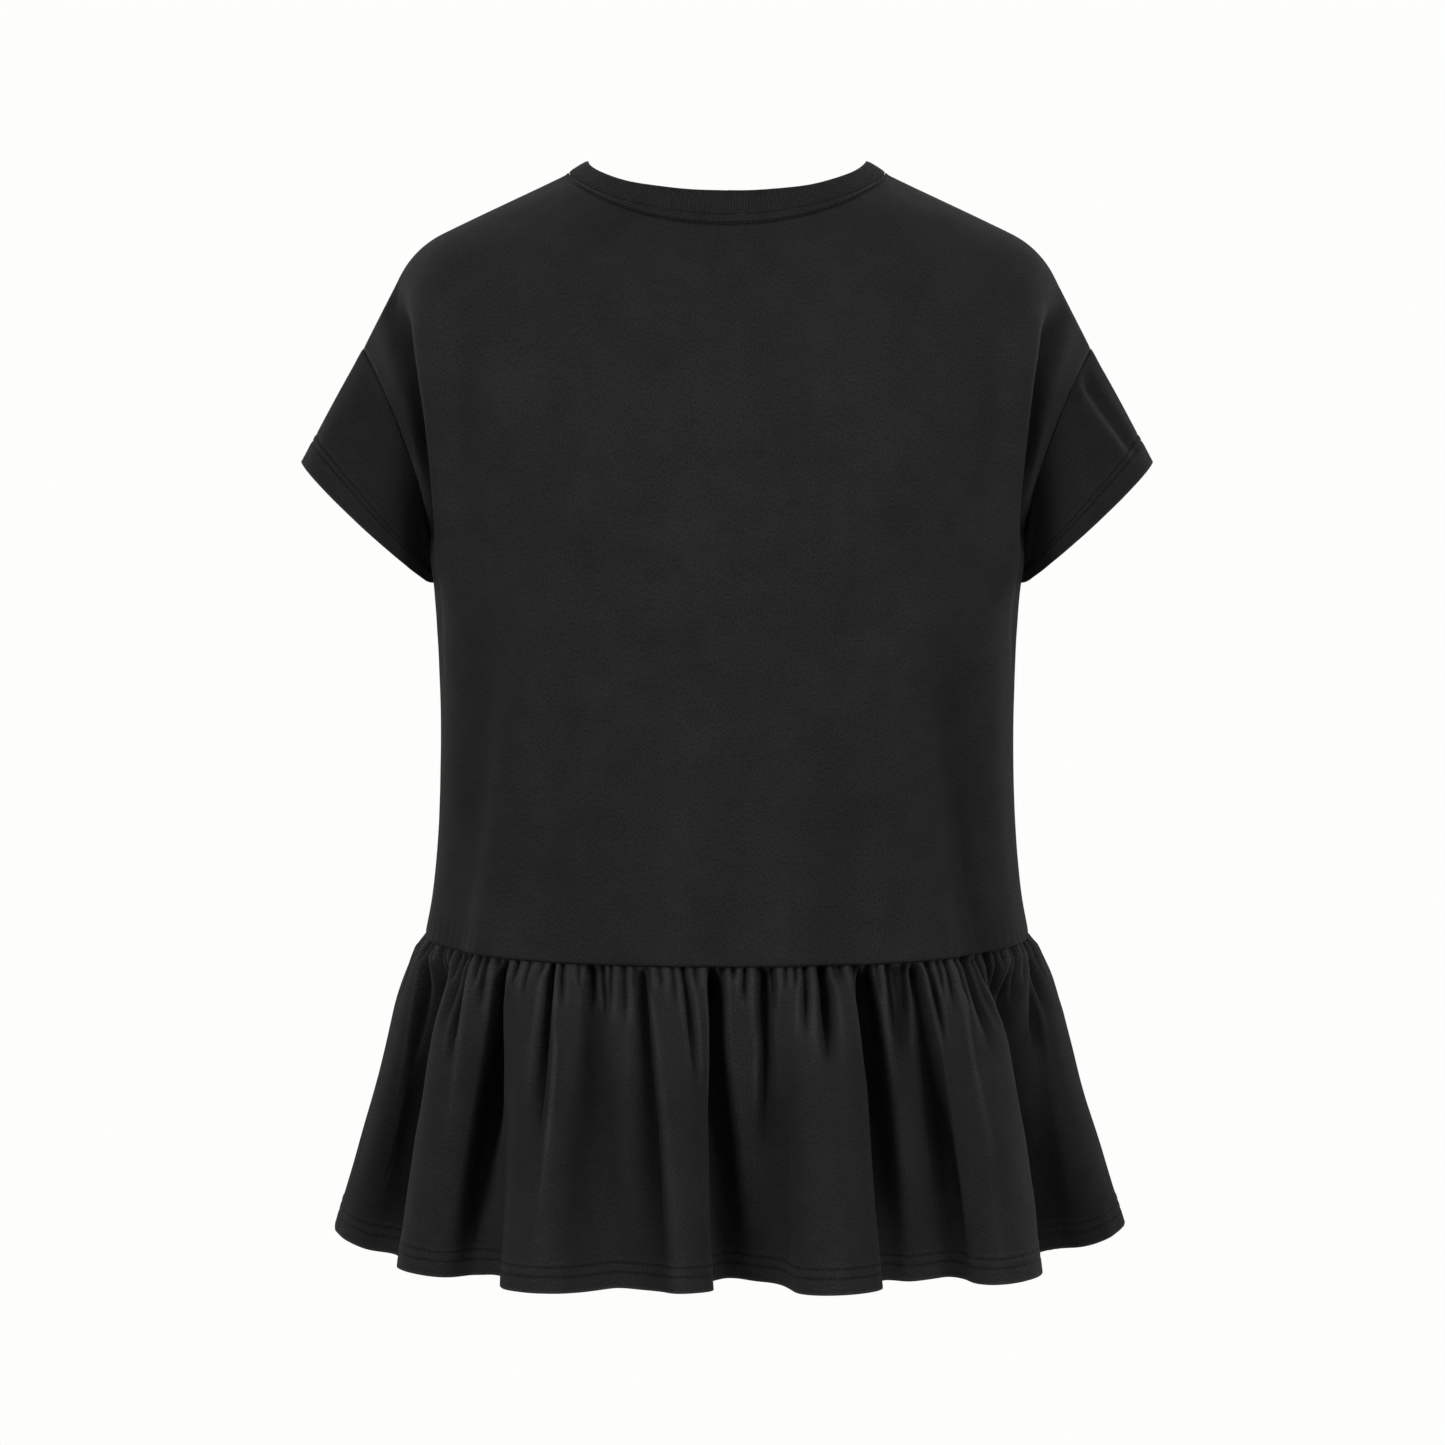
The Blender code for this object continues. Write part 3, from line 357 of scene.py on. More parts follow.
def fold_height(folds, u, z):
    """How far a table's folds push the cloth out at each point."""
    out = np.zeros(u.shape)
    for fold in folds:
        low, high = fold["z0"], fold["z1"]
        middle = fold["u0"] + (fold["u1"] - fold["u0"]) * np.clip((z - low) / (high - low), 0, 1)
        fade = FOLD_FADE * (high - low)
        window = smooth_step(low, low + fade, z) * (1 - smooth_step(high - fade, high + fade / 2, z))
        out += fold["out"] * bell((u - middle) / fold["half"]) * window
    return out


valley = fold_height(BACK_FOLDS, np.array([0.868]), np.array([-160.0]))
print("the back stands", round(float(valley[0]), 1), "mm out in the middle of the left arm valley")

# %% [markdown]
# ## Materials
#
# Washed cotton jersey is never one flat black. The loops of the knit catch light, pale fibres stand up from
# it, and the dye has worn unevenly over several centimetres. A light sheen gives the fuzzy pale line that
# the cloth shows along its turned-away edges. A photographed texture would repeat and stretch, so everything
# is procedural, on the cloth's own coordinates, in metres.

# %% Node helpers
def new_material(name, finish):
    """A new material, its node tree, and its Principled shader with the given finish."""
    material = bpy.data.materials.new(name)
    material.use_nodes = True
    shader = material.node_tree.nodes["Principled BSDF"]
    for socket, value in finish.items():
        shader.inputs[socket].default_value = value
    return material, material.node_tree, shader


def maths(tree, operation, first, second=None):
    """A Math node on sockets or numbers, and its output socket."""
    made = tree.nodes.new("ShaderNodeMath")
    made.operation = operation
    for socket, value in zip(made.inputs, (first, second)):
        if value is None:
            continue
        if isinstance(value, (int, float)):
            socket.default_value = value
        else:
            tree.links.new(value, socket)
    return made.outputs[0]


def noise(tree, coordinates, scale, detail=2.0, roughness=0.5, stretch=None):
    """Noise from 0 to 1 at a scale in features for each metre."""
    if stretch:
        mapping = tree.nodes.new("ShaderNodeMapping")
        mapping.inputs["Scale"].default_value = stretch
        tree.links.new(coordinates, mapping.inputs["Vector"])
        coordinates = mapping.outputs["Vector"]
    made = tree.nodes.new("ShaderNodeTexNoise")
    made.inputs["Scale"].default_value = scale
    made.inputs["Detail"].default_value = detail
    made.inputs["Roughness"].default_value = roughness
    tree.links.new(coordinates, made.inputs["Vector"])
    return made.outputs["Fac"]


def spread(tree, value, low, high, to_low, to_high):
    """Carries a value from one range to another, cut off at both ends."""
    made = tree.nodes.new("ShaderNodeMapRange")
    for name, number in (("From Min", low), ("From Max", high), ("To Min", to_low), ("To Max", to_high)):
        made.inputs[name].default_value = number
    tree.links.new(value, made.inputs["Value"])
    return made.outputs["Result"]


print("node helpers:", ", ".join(tool.__name__ for tool in (new_material, maths, noise, spread)))

# %% [markdown]
# ## Jersey and rib
#
# Both are knitted of the same black cotton. A knit is columns of small V-shaped loops, the wales, and on a
# rib every second column sinks back. So one function makes both, from the loops' pitch and the depth of the
# ribs. It gives their colour, a tone that is multiplied step by step, and a low relief that a Bump node
# reads. The tone has painted shade where the loops and ribs sink. An attribute painted on each piece as it is
# made adds painted light and shade, with some wear: crests and hem edges paler, folds and grooves darker.

# %% Jersey and rib
JERSEY_GREY = 0.0190
RIB_GREY = 0.0186
KNIT_FINISH = {
    "Roughness": 0.92, "Specular IOR Level": 0.12, "Sheen Weight": 0.14, "Sheen Roughness": 0.15,
    "Sheen Tint": (0.55, 0.55, 0.56, 1),
}
LOOP_SLANT = 1.1
# Painted light and shade of the knit: its tone is paler where the loops and ribs stand up and darker where
# they sink.
LOOP_PAINTED_SHADE = 0.09
FIBRE_RELIEF = 0.16
BUMP_STRENGTH = 0.55
BUMP_DISTANCE = 1.0
WASH = dict(scale=17, detail=3.0, roughness=0.55)
PATCHES = dict(scale=62, detail=2.0, roughness=0.5)
FIBRES = dict(scale=950, detail=3.0, roughness=0.75, stretch=(1.0, 0.6, 1.0))
FUZZ = dict(scale=1900, detail=2.0, roughness=0.7)
BLACK_TINT = (1.0, 0.995, 0.985)


def cloth_material(name, grey, wale, course, rib_depth, knit_depth, rib_painted_shade):
    """Black cotton knit: wale and course are the loops' pitch across and along, in millimetres."""
    material, tree, shader = new_material(name, KNIT_FINISH)
    place = tree.nodes.new("ShaderNodeTexCoord").outputs["Object"]
    cloth = tree.nodes.new("ShaderNodeUVMap")
    cloth.uv_map = "cloth"
    parts = tree.nodes.new("ShaderNodeSeparateXYZ")
    tree.links.new(cloth.outputs["UV"], parts.inputs["Vector"])
    across = maths(tree, "MULTIPLY", parts.outputs["X"], 1 / (wale * MM))
    along = maths(tree, "MULTIPLY", parts.outputs["Y"], 1 / (course * MM))
    from_middle = maths(tree, "ABSOLUTE", maths(tree, "SUBTRACT", maths(tree, "FRACT", across), 0.5))
    slant = maths(tree, "ADD", along, maths(tree, "MULTIPLY", from_middle, LOOP_SLANT))
    loops = maths(tree, "SINE", maths(tree, "MULTIPLY", slant, 2 * math.pi))
    ridge = maths(tree, "COSINE", maths(tree, "MULTIPLY", across, 2 * math.pi))
    worn_and_painted_light = noise(tree, place, **WASH)
    patches = noise(tree, place, **PATCHES)
    fibres = noise(tree, cloth.outputs["UV"], **FIBRES)
    fuzz = noise(tree, place, **FUZZ)
    wash_tone = spread(tree, worn_and_painted_light, 0.3, 0.7, 0.90, 1.11)
    tone = maths(tree, "MULTIPLY", wash_tone, spread(tree, patches, 0.3, 0.7, 0.93, 1.07))
    tone = maths(tree, "MULTIPLY", tone, spread(tree, fibres, 0.28, 0.72, 0.50, 1.56))
    tone = maths(tree, "ADD", tone, spread(tree, fuzz, 0.6, 0.78, 0.0, 0.9))
    # Painted light and shade of the knit's relief: paler on the raised loops and ribs, darker where they
    # sink.
    tone = maths(tree, "ADD", tone, maths(tree, "MULTIPLY", loops, LOOP_PAINTED_SHADE))
    tone = maths(tree, "ADD", tone, maths(tree, "MULTIPLY", ridge, rib_painted_shade))
    # Painted light and shade, with some wear, read from each piece: paler on crests and hem edges, darker in
    # folds and grooves.
    light_and_wear_attribute = tree.nodes.new("ShaderNodeAttribute")
    light_and_wear_attribute.attribute_name = "painted_light_and_wear"
    tone = maths(tree, "MULTIPLY", tone, spread(tree, light_and_wear_attribute.outputs["Fac"], 0.0, 1.0, 0.25, 1.75))
    grey_value = maths(tree, "MULTIPLY", tone, grey)
    colour = tree.nodes.new("ShaderNodeCombineColor")
    for channel, tint in zip(colour.inputs, BLACK_TINT):
        tree.links.new(maths(tree, "MULTIPLY", grey_value, tint), channel)
    tree.links.new(colour.outputs["Color"], shader.inputs["Base Color"])
    height = maths(tree, "MULTIPLY", loops, knit_depth)
    height = maths(tree, "ADD", height, maths(tree, "MULTIPLY", ridge, rib_depth))
    height = maths(tree, "ADD", height, maths(tree, "MULTIPLY", fibres, FIBRE_RELIEF))
    bump = tree.nodes.new("ShaderNodeBump")
    bump.inputs["Strength"].default_value = BUMP_STRENGTH
    bump.inputs["Distance"].default_value = BUMP_DISTANCE * MM
    tree.links.new(height, bump.inputs["Height"])
    tree.links.new(bump.outputs["Normal"], shader.inputs["Normal"])
    return material


# The last value of each is painted shade in the knit's sunken columns, strong on the rib.
JERSEY = cloth_material("washed black jersey", JERSEY_GREY, wale=0.95, course=0.75,
                        rib_depth=0.05, knit_depth=0.10, rib_painted_shade=0.02)
RIB = cloth_material("black cotton rib", RIB_GREY, wale=1.9, course=0.8,
                     rib_depth=0.75, knit_depth=0.06, rib_painted_shade=0.22)
print("materials:", JERSEY.name, "|", RIB.name)

# %% [markdown]
# ## Thread
#
# Sewing thread is spun harder than the knit, so it is smoother, and the dye takes deeper in it. Each stitch
# is only a few pixels long, so a finely mottled black is all that it needs.

# %% Thread
THREAD_GREY = 0.0030
THREAD_FINISH = {"Roughness": 0.65, "Specular IOR Level": 0.35}
SPUN_FIBRES = dict(scale=1500, detail=2.0, roughness=0.6)


def thread_material():
    """Black spun thread, a little darker and smoother than the cloth."""
    material, tree, shader = new_material("black thread", THREAD_FINISH)
    place = tree.nodes.new("ShaderNodeTexCoord").outputs["Object"]
    fibres = noise(tree, place, **SPUN_FIBRES)
    value = maths(tree, "MULTIPLY", spread(tree, fibres, 0.3, 0.7, 0.7, 1.3), THREAD_GREY)
    colour = tree.nodes.new("ShaderNodeCombineColor")
    for channel in colour.inputs:
        tree.links.new(value, channel)
    tree.links.new(colour.outputs["Color"], shader.inputs["Base Color"])
    return material


THREAD = thread_material()
print("material:", THREAD.name)

# %% [markdown]
# ## Cloth meshes
#
# Real cloth has a thickness, and behind each seam lie the folded-in edges of both pieces. Every piece is one
# grid of outer points, its inner points a cloth's thickness behind them, and rims round the free edges,
# where the cloth thins to a soft round edge. A Solidify modifier would give one even thickness, and a hem is
# twice as thick as its cloth. The UV map is the cloth itself, in metres, so that the knit keeps its size and
# runs along the grain.

# %% Normals, edges and crests
EDGE_LEFT = 0.25


def grid_normals(grid, closed, outward):
    """Unit normals of a grid, turned to the side that most of them face when they agree with outward."""
    if closed:
        across = np.roll(grid, -1, axis=1) - np.roll(grid, 1, axis=1)
    else:
        across = np.gradient(grid, axis=1)
    normal = unit(np.cross(across, np.gradient(grid, axis=0)))
    return normal * (1 if np.sum(normal * outward) > 0 else -1)


def edge_share(distance, round_off):
    """The share of a cloth's thickness that is left at a distance from its edge."""
    near = np.clip(distance / round_off, 0, 1)
    return EDGE_LEFT + (1 - EDGE_LEFT) * np.sqrt(1 - (1 - near) ** 2)


def crest(grid, normal, closed, reach=2):
    """How sharply the cloth bends out over each point, across its columns, in parts of a millimetre."""
    if closed:
        ahead, behind = np.roll(grid, -reach, axis=1), np.roll(grid, reach, axis=1)
    else:
        wide = np.concatenate([grid[:, :1]] * reach + [grid] + [grid[:, -1:]] * reach, axis=1)
        ahead, behind = wide[:, 2 * reach:], wide[:, :-2 * reach]
    step = np.maximum(np.linalg.norm(ahead - behind, axis=-1) / 2, 0.5)
    return -np.sum((ahead + behind - 2 * grid) * normal, axis=-1) / step**2


print("share of the thickness that is left at the very edge:", float(edge_share(0.0, 1.0)))

# %% A wall of cloth
def cloth_wall(grid, normal, thick, uv, closed):
    """The points, faces and face UVs of one closed wall. uv has one more column than a grid that closes."""
    rows, columns = grid.shape[:2]
    inner = grid - normal * thick[..., None]
    points = np.vstack([grid.reshape(-1, 3), inner.reshape(-1, 3)]) * MM
    spans = columns if closed else columns - 1
    r, c = np.meshgrid(np.arange(rows - 1), np.arange(spans), indexing="ij")
    r, c = r.ravel(), c.ravel()
    corners = np.stack([r, r, r + 1, r + 1], -1), np.stack([c, c + 1, c + 1, c], -1)
    outside = corners[0] * columns + corners[1] % columns
    wide = uv.shape[1]
    uv_flat = uv.reshape(-1, 2)
    uv_outside = corners[0] * wide + corners[1]
    half = rows * columns
    faces, uv_faces = [outside, outside[:, ::-1] + half], [uv_outside, uv_outside[:, ::-1]]
    k, rims = np.arange(spans), []
    for row in (0, rows - 1):
        a, b = row * columns + k, row * columns + (k + 1) % columns
        rims.append((a, b, row * wide + k, row * wide + k + 1, row == 0))
    if not closed:
        k = np.arange(rows - 1)
        for column in (0, columns - 1):
            a, b = k * columns + column, (k + 1) * columns + column
            rims.append((a, b, k * wide + column, (k + 1) * wide + column, column > 0))
    for a, b, uv_a, uv_b, onward in rims:
        quad = np.stack([a, a + half, b + half, b], -1)
        uv_quad = np.stack([uv_a, uv_a, uv_b, uv_b], -1)
        faces.append(quad if onward else quad[:, ::-1])
        uv_faces.append(uv_quad if onward else uv_quad[:, ::-1])
    faces, uv_faces = np.vstack(faces), np.vstack(uv_faces)
    p = points[faces]
    volume = np.sum(p[:, 0] * np.cross(p[:, 1], p[:, 2])) + np.sum(p[:, 0] * np.cross(p[:, 2], p[:, 3]))
    if volume < 0:
        faces, uv_faces = faces[:, ::-1], uv_faces[:, ::-1]
    return points, faces, uv_flat[uv_faces.ravel()] * MM


square = np.stack([*np.meshgrid(np.arange(3.0), np.arange(3.0)), np.zeros((3, 3))], -1)
swatch = cloth_wall(square, np.array([0, 0, 1.0]), np.ones((3, 3)), square[..., :2], False)
print("a swatch of 4 squares makes a wall of", len(swatch[1]), "faces")

# %% [markdown]
# ## Seam allowances, painted light and shade
#
# Two pieces meet edge to edge at a seam, and light would pass between them if nothing lay behind. In a
# garment the seam allowances do: narrow strips of both pieces, sewn flat inside. One strip of the same cloth
# does for both here, as a wall of its own in the same mesh, darkened as painted shade because it lies inside.
# Each piece also gets an attribute of painted light and shade that its material reads, worked out from how
# sharply the cloth bends: crests get a painted highlight, and dips get painted shade.

# %% Seam allowance
# The last value is painted shade on the allowances, which lie inside the garment.
ALLOWANCE = {"ways": (-2.5, 0.0, 3.0), "under": (1.3, 1.3, 2.1), "thick": 0.5, "painted_light_and_wear": 0.2}


def seam_allowance(line, over, normal, ways=ALLOWANCE["ways"], closed=False):
    """The seam allowance, a narrow strip inside the garment that lies along a seam and across it."""
    depths = ALLOWANCE["under"]
    grid = np.array([line + over * way - normal * depth for way, depth in zip(ways, depths)])
    across, along = grid_lengths(np.concatenate([grid, grid[:, :1]], axis=1) if closed else grid)
    thick = np.full(grid.shape[:2], ALLOWANCE["thick"])
    return grid, np.broadcast_to(normal, grid.shape), thick, np.stack([across, along], -1), closed


def side_strips(grid, normal, rows):
    """The seam allowances along both side edges of a grid, over its first rows."""
    strips = []
    for edge, beside in ((0, 1), (-1, -2)):
        over = unit(grid[:, edge] - grid[:, beside])
        strips.append(seam_allowance(grid[:rows, edge], over[:rows], normal[:rows, edge]))
    return strips


print("a seam allowance is", ALLOWANCE["ways"][-1] - ALLOWANCE["ways"][0], "mm wide")

# %% A piece of cloth
# Levels of the painted light and shade on the cloth, from 0 to 1, with plain cloth in the middle.
PLAIN_LIGHT_AND_WEAR = 0.5
# Painted highlight on the crests and painted shade in the dips, by how sharply the cloth bends.
CREST_PAINTED_HIGHLIGHT = {"more": 0.42, "bend": (0.03, 0.35)}
DIP_PAINTED_SHADE = {"less": 0.25, "bend": (0.05, 0.45)}


def add_object(name, data):
    """A new object in the scene, at the origin, unturned and unscaled."""
    made = bpy.data.objects.new(name, data)
    bpy.context.scene.collection.objects.link(made)
    return made


def cloth_piece(name, grid, normal, thick, uv, material, closed=False, painted_light_and_wear=None, allowances=()):
    """A piece of cloth: its wall and the seam allowances inside it.

    The painted light and wear is plain on plain cloth, higher on crests and edges as a painted highlight,
    and lower in the folds as painted shade.
    """
    if painted_light_and_wear is None:
        painted_light_and_wear = np.full(grid.shape[:2], PLAIN_LIGHT_AND_WEAR)
    bend = crest(grid, normal, closed)
    # A painted highlight where the cloth bends out, painted shade where it bends in.
    painted_light_and_wear = painted_light_and_wear + CREST_PAINTED_HIGHLIGHT["more"] * smooth_step(*CREST_PAINTED_HIGHLIGHT["bend"], bend)
    painted_light_and_wear = painted_light_and_wear - DIP_PAINTED_SHADE["less"] * smooth_step(*DIP_PAINTED_SHADE["bend"], -bend)
    walls = [cloth_wall(grid, normal, thick, uv, closed)] + [cloth_wall(*strip) for strip in allowances]
    starts = np.cumsum([0] + [len(wall[0]) for wall in walls])
    points = np.vstack([wall[0] for wall in walls])
    faces = np.vstack([wall[1] + start for wall, start in zip(walls, starts)])
    mesh = bpy.data.meshes.new(name)
    mesh.from_pydata(points.tolist(), [], faces.tolist())
    layer = mesh.uv_layers.new(name="cloth")
    layer.data.foreach_set("uv", np.vstack([wall[2] for wall in walls]).astype(np.float32).ravel())
    mesh.polygons.foreach_set("use_smooth", [True] * len(mesh.polygons))
    # The per-point painted light and shade, and the painted shade of the seam allowances.
    light_and_wear_attribute = mesh.attributes.new("painted_light_and_wear", "FLOAT", "POINT")
    worn_and_painted_light = np.concatenate([painted_light_and_wear.ravel()] * 2 + [np.full(starts[-1] - starts[1], ALLOWANCE["painted_light_and_wear"])])
    light_and_wear_attribute.data.foreach_set("value", np.clip(worn_and_painted_light, 0, 1).astype(np.float32))
    mesh.materials.append(material)
    mesh.update()
    print(name, "has", 2 * len(mesh.polygons), "triangles")
    return add_object(name, mesh)


print("wear runs from 0 to 1 and is", PLAIN_LIGHT_AND_WEAR, "on plain cloth")

# %% [markdown]
# ## Hems and stitch rows
#
# A hem is turned under once and held by two rows of stitches. Turned cloth is twice as thick, so it stands a
# little fuller than the cloth above it, each row pulls a narrow groove into it, and it ripples between the
# rows. All of it is worked out from each point's distance to the edge, in millimetres of cloth, so the rows
# stay parallel to the hem however far the flutes swing. The stitches themselves follow lines at the same
# distances.

# %% Painted light, shade and relief of a hem
HEM_STITCHES = {"ruffle": (10.0, 16.0), "sleeve": (14.7, 19.0), "neck": 7.2}
# A painted highlight along the hem's turned edge, and painted shade in the stitches' grooves.
HEM_EDGE_HIGHLIGHT = 0.45
STITCH_TONE_AND_SHADE = {"pale": 0.07, "dark": 0.30, "half": 0.55}
HEM_STEP = 1.5
HEM_EDGE = 0.9
HEM_LEDGE = 0.35
STITCH_PULL = {"depth": 0.6, "varies": 0.16, "every": 7.3, "half": 0.62}
HEM_RIPPLE = 0.22


def hem_tone_and_groove_shade(distance, rows):
    """A hem is a little paler than its cloth, with painted shade in its stitches' grooves."""
    width = max(rows) + 3
    pale = STITCH_TONE_AND_SHADE["pale"] * smooth_step(width + 2, width - 1, distance)
    return pale - STITCH_TONE_AND_SHADE["dark"] * sum(bell((distance - row) / STITCH_TONE_AND_SHADE["half"]) for row in rows)


def hem_relief(distance, across, rows, width):
    """The relief of a turned hem: a faint ledge, a groove under each stitch row, and ripples between them."""
    relief = HEM_LEDGE * smooth_step(width + 1.2, width - 0.8, distance)
    for row in rows:
        wave = np.sin(across * 2 * math.pi / STITCH_PULL["every"] + row)
        pull = STITCH_PULL["depth"] + STITCH_PULL["varies"] * wave
        relief = relief - pull * bell((distance - row) / STITCH_PULL["half"])
    ripple = np.sin(across / 3.7 + 2 * np.sin(across / 23)) * np.sin(across / 61 + 1)
    return relief + HEM_RIPPLE * ripple * smooth_step(width + 5, width - 2, distance)


def hem_thickness(to_hem, from_edges, width):
    """The cloth's thickness: doubled where the hem is turned, and thin at the very edges."""
    thick = SHELL + (HEM_SHELL - SHELL) * smooth_step(width + HEM_STEP, width - HEM_STEP, to_hem)
    return thick * edge_share(from_edges, HEM_EDGE)


print("stitch rows", HEM_STITCHES["ruffle"], "mm above the ruffle's edge and", HEM_STITCHES["sleeve"],
      "mm above the sleeve's")

# %% Lines for the stitches
THREAD_LIFT = 0.04


def line_at(grid, normal, distance, at):
    """A line over a grid at one distance from its edge, lying in the cloth's outer skin."""
    points = []
    for column in range(grid.shape[1]):
        order = np.argsort(distance[:, column])
        away = distance[order, column]
        here, up = ([np.interp(at, away, part[order, column, axis]) for axis in range(3)]
                    for part in (grid, normal))
        points.append(np.array(here) + np.array(up) * THREAD_LIFT)
    return np.array(points)


print("the thread's middle lies", THREAD_LIFT, "mm above the groove")

# %% [markdown]
# ## Back and front
#
# Each panel keeps the large folds of its wall and adds the small creases. Where it is sewn, the edge rolls
# in a little and puckers, and under the arm the cloth rests against the sleeve. Under the neck seam lies the
# folded seam allowance, held down by one row of stitches: it shows as a narrow raised strip. The grid is
# about 2 mm, fine enough for the creases, and its rows close up under the neck seam. A Displace modifier
# would need a picture of the folds. Here each point moves along its own normal by the sum of all that lifts
# the cloth.

# %% Grid of a panel
PANEL_COLUMNS = {"back": 236, "front": 200}
TORSO_ROWS = {"back": 84, "front": 70}
YOKE_ROWS = {"back": 78, "front": 66}
TORSO_CROWDING = 1.12
YOKE_END = 0.945
NECK_ROWS = (0.048, 0.040, 0.034, 0.030, 0.026, 0.020, 0.013, 0.007, 0.003, 0.0)
print("the back's grid has", PANEL_COLUMNS["back"] + 1, "columns, the front's", PANEL_COLUMNS["front"] + 1)

# %% Relief of a panel
SEAM_TAPE = {"width": 7.0, "height": 0.7, "bevel": 1.2}
ARM_REST = {"z": -243.0, "half": 9.0, "out": 1.1}
GATHER_COUNT = 68
SLOW_SWELL = {"height": 0.55, "seed": 11, "waves": 9, "span": (55, 170)}
FINE_SWELL = {"height": 0.22, "seed": 31, "waves": 9, "span": (18, 42)}
WAIST_PUCKER = {"height": 0.3, "along": 26}
NECK_GROOVE = {"depth": 0.75, "half": 0.9, "ripple": 0.16}
EDGE_ROLL = {"neck": 0.6, "other": 0.15}


def panel_folds(side, share, z, mag, keep, to_top):
    """How far the folds and creases push a panel out, fading at its seams."""
    folds, creases = (BACK_FOLDS, BACK_CREASES) if side > 0 else (FRONT_FOLDS, FRONT_CREASES)
    folded = fold_height(folds, share, z) * (1 - smooth_step(0.9, 1, mag)) * smooth_step(0, 9, to_top)
    folded += fold_height(creases, share, z) * keep * smooth_step(0, 14, to_top)
    return folded


def swell(side, across, along, kind):
    """A slow or a fine unevenness of the cloth, in millimetres."""
    return kind["height"] * unevenness(across, along, kind["seed"] + side, kind["waves"], kind["span"])


def sewn_edges(out, share, in_neck, across, along, to_top, from_side):
    """Adds the puckers and rolled edges of a panel's seams, and the raised strip under the neck seam."""
    over_seam = 1 - smooth_step(0, WAIST_PUCKER["along"], along)
    tucks = np.cos(math.pi * GATHER_COUNT * share)
    out = out + WAIST_PUCKER["height"] * over_seam * tucks * smooth_step(0, 3, along)
    out -= EDGE_ROLL["other"] * (1 - smooth_step(0.3, 2.0, along))
    tape = smooth_step(SEAM_TAPE["width"] + SEAM_TAPE["bevel"], SEAM_TAPE["width"], to_top)
    out += SEAM_TAPE["height"] * in_neck * tape
    ripple = np.sin(across / 4.1 + np.sin(across / 17)) * NECK_GROOVE["ripple"]
    groove = bell((to_top - HEM_STITCHES["neck"]) / NECK_GROOVE["half"])
    out += in_neck * (ripple - NECK_GROOVE["depth"]) * groove
    out -= EDGE_ROLL["neck"] * (1 - smooth_step(0.2, 2.6, to_top))
    out -= EDGE_ROLL["other"] * (1 - smooth_step(0.2, 1.4, from_side))
    return out


print("the strip under the neck seam is", SEAM_TAPE["width"], "mm wide")

# %% Panels
# Painted shade on the panels: darker in sunk folds, a little paler on raised ones, darker on the lower sides
# and in the neck stitches' groove.
FOLD_PAINTED_LIGHT_AND_SHADE = {"for": 36, "low": -0.22, "high": 0.05}
SIDE_PAINTED_SHADE = 0.12
NECK_GROOVE_PAINTED_SHADE = {"dark": 0.5, "half": 1.2}
WAIST_STRIP = (-0.3, 1.5, 4.0)


def panel_piece(name, side):
    """The back (side 1) or front (side -1), the line of its neck stitches and its waist edge."""
    u = np.linspace(-1, 1, PANEL_COLUMNS[name] + 1)
    torso = np.linspace(0, 1, TORSO_ROWS[name], endpoint=False) ** TORSO_CROWDING
    yoke = np.concatenate([np.linspace(0, YOKE_END, YOKE_ROWS[name]), 1 - np.array(NECK_ROWS)])
    grid = panel_surface(side, u, torso, yoke)
    outward = np.array([0, side, 0.3])
    normal = grid_normals(grid, False, outward)
    across, along = grid_lengths(grid)
    share = np.broadcast_to(u, grid.shape[:2])
    mag, z = np.abs(share), grid[..., 2]
    to_top = along[-1] - along
    from_side = (1 - mag) * across[:, -1:] / 2
    in_neck = smooth_step(NECK_SHARE + 0.01, NECK_SHARE - 0.005, mag)
    keep = smooth_step(0, 26, from_side)
    folded = panel_folds(side, share, z, mag, keep, to_top)
    out = folded + swell(side, across, along, SLOW_SWELL) * keep * smooth_step(0, 30, to_top)
    out += swell(side, across, along, FINE_SWELL) * keep * smooth_step(0, 20, to_top)
    out += ARM_REST["out"] * bell((z - ARM_REST["z"]) / ARM_REST["half"]) * smooth_step(0.80, 0.94, mag)
    out = sewn_edges(out, share, in_neck, across, along, to_top, from_side)
    grid = grid + normal * out[..., None]
    normal = grid_normals(grid, False, outward)
    normal[:len(torso) + 1, [0, -1], 1:] = 0
    normal[-1, np.abs(u) >= NECK_SHARE, 1] = 0
    normal = unit(normal)
    grid[..., 1] += side * SEAM_GAP / 2
    thick = SHELL * edge_share(np.minimum(np.minimum(to_top, along), from_side), 0.6)
    middle = across[:, across.shape[1] // 2][:, None]
    uv = np.stack([across - middle, along], -1)
    # Painted light and shade: the folds, the lower sides and the neck groove.
    painted_light_and_wear = PLAIN_LIGHT_AND_WEAR + np.clip(folded / FOLD_PAINTED_LIGHT_AND_SHADE["for"], FOLD_PAINTED_LIGHT_AND_SHADE["low"], FOLD_PAINTED_LIGHT_AND_SHADE["high"])
    painted_light_and_wear = painted_light_and_wear - SIDE_PAINTED_SHADE * smooth_step(0.70, 0.95, mag) * (z < UNDERARM_Z - 30)
    groove = bell((to_top - HEM_STITCHES["neck"]) / NECK_GROOVE_PAINTED_SHADE["half"])
    painted_light_and_wear = painted_light_and_wear - NECK_GROOVE_PAINTED_SHADE["dark"] * in_neck * groove
    level = unit(normal[0] * (1, 1, 0))
    allowances = [seam_allowance(grid[0], unit(grid[1] - grid[0]), level, ways=WAIST_STRIP)]
    if side > 0:
        allowances += side_strips(grid, normal, len(torso) + 1)
    piece = cloth_piece(f"{name}_cloth", grid, normal, thick, uv, JERSEY, painted_light_and_wear=painted_light_and_wear, allowances=allowances)
    at_neck = np.abs(u) <= NECK_SHARE
    line = line_at(grid[:, at_neck], normal[:, at_neck], to_top[:, at_neck], HEM_STITCHES["neck"])
    return piece, [line], (u, grid[0])


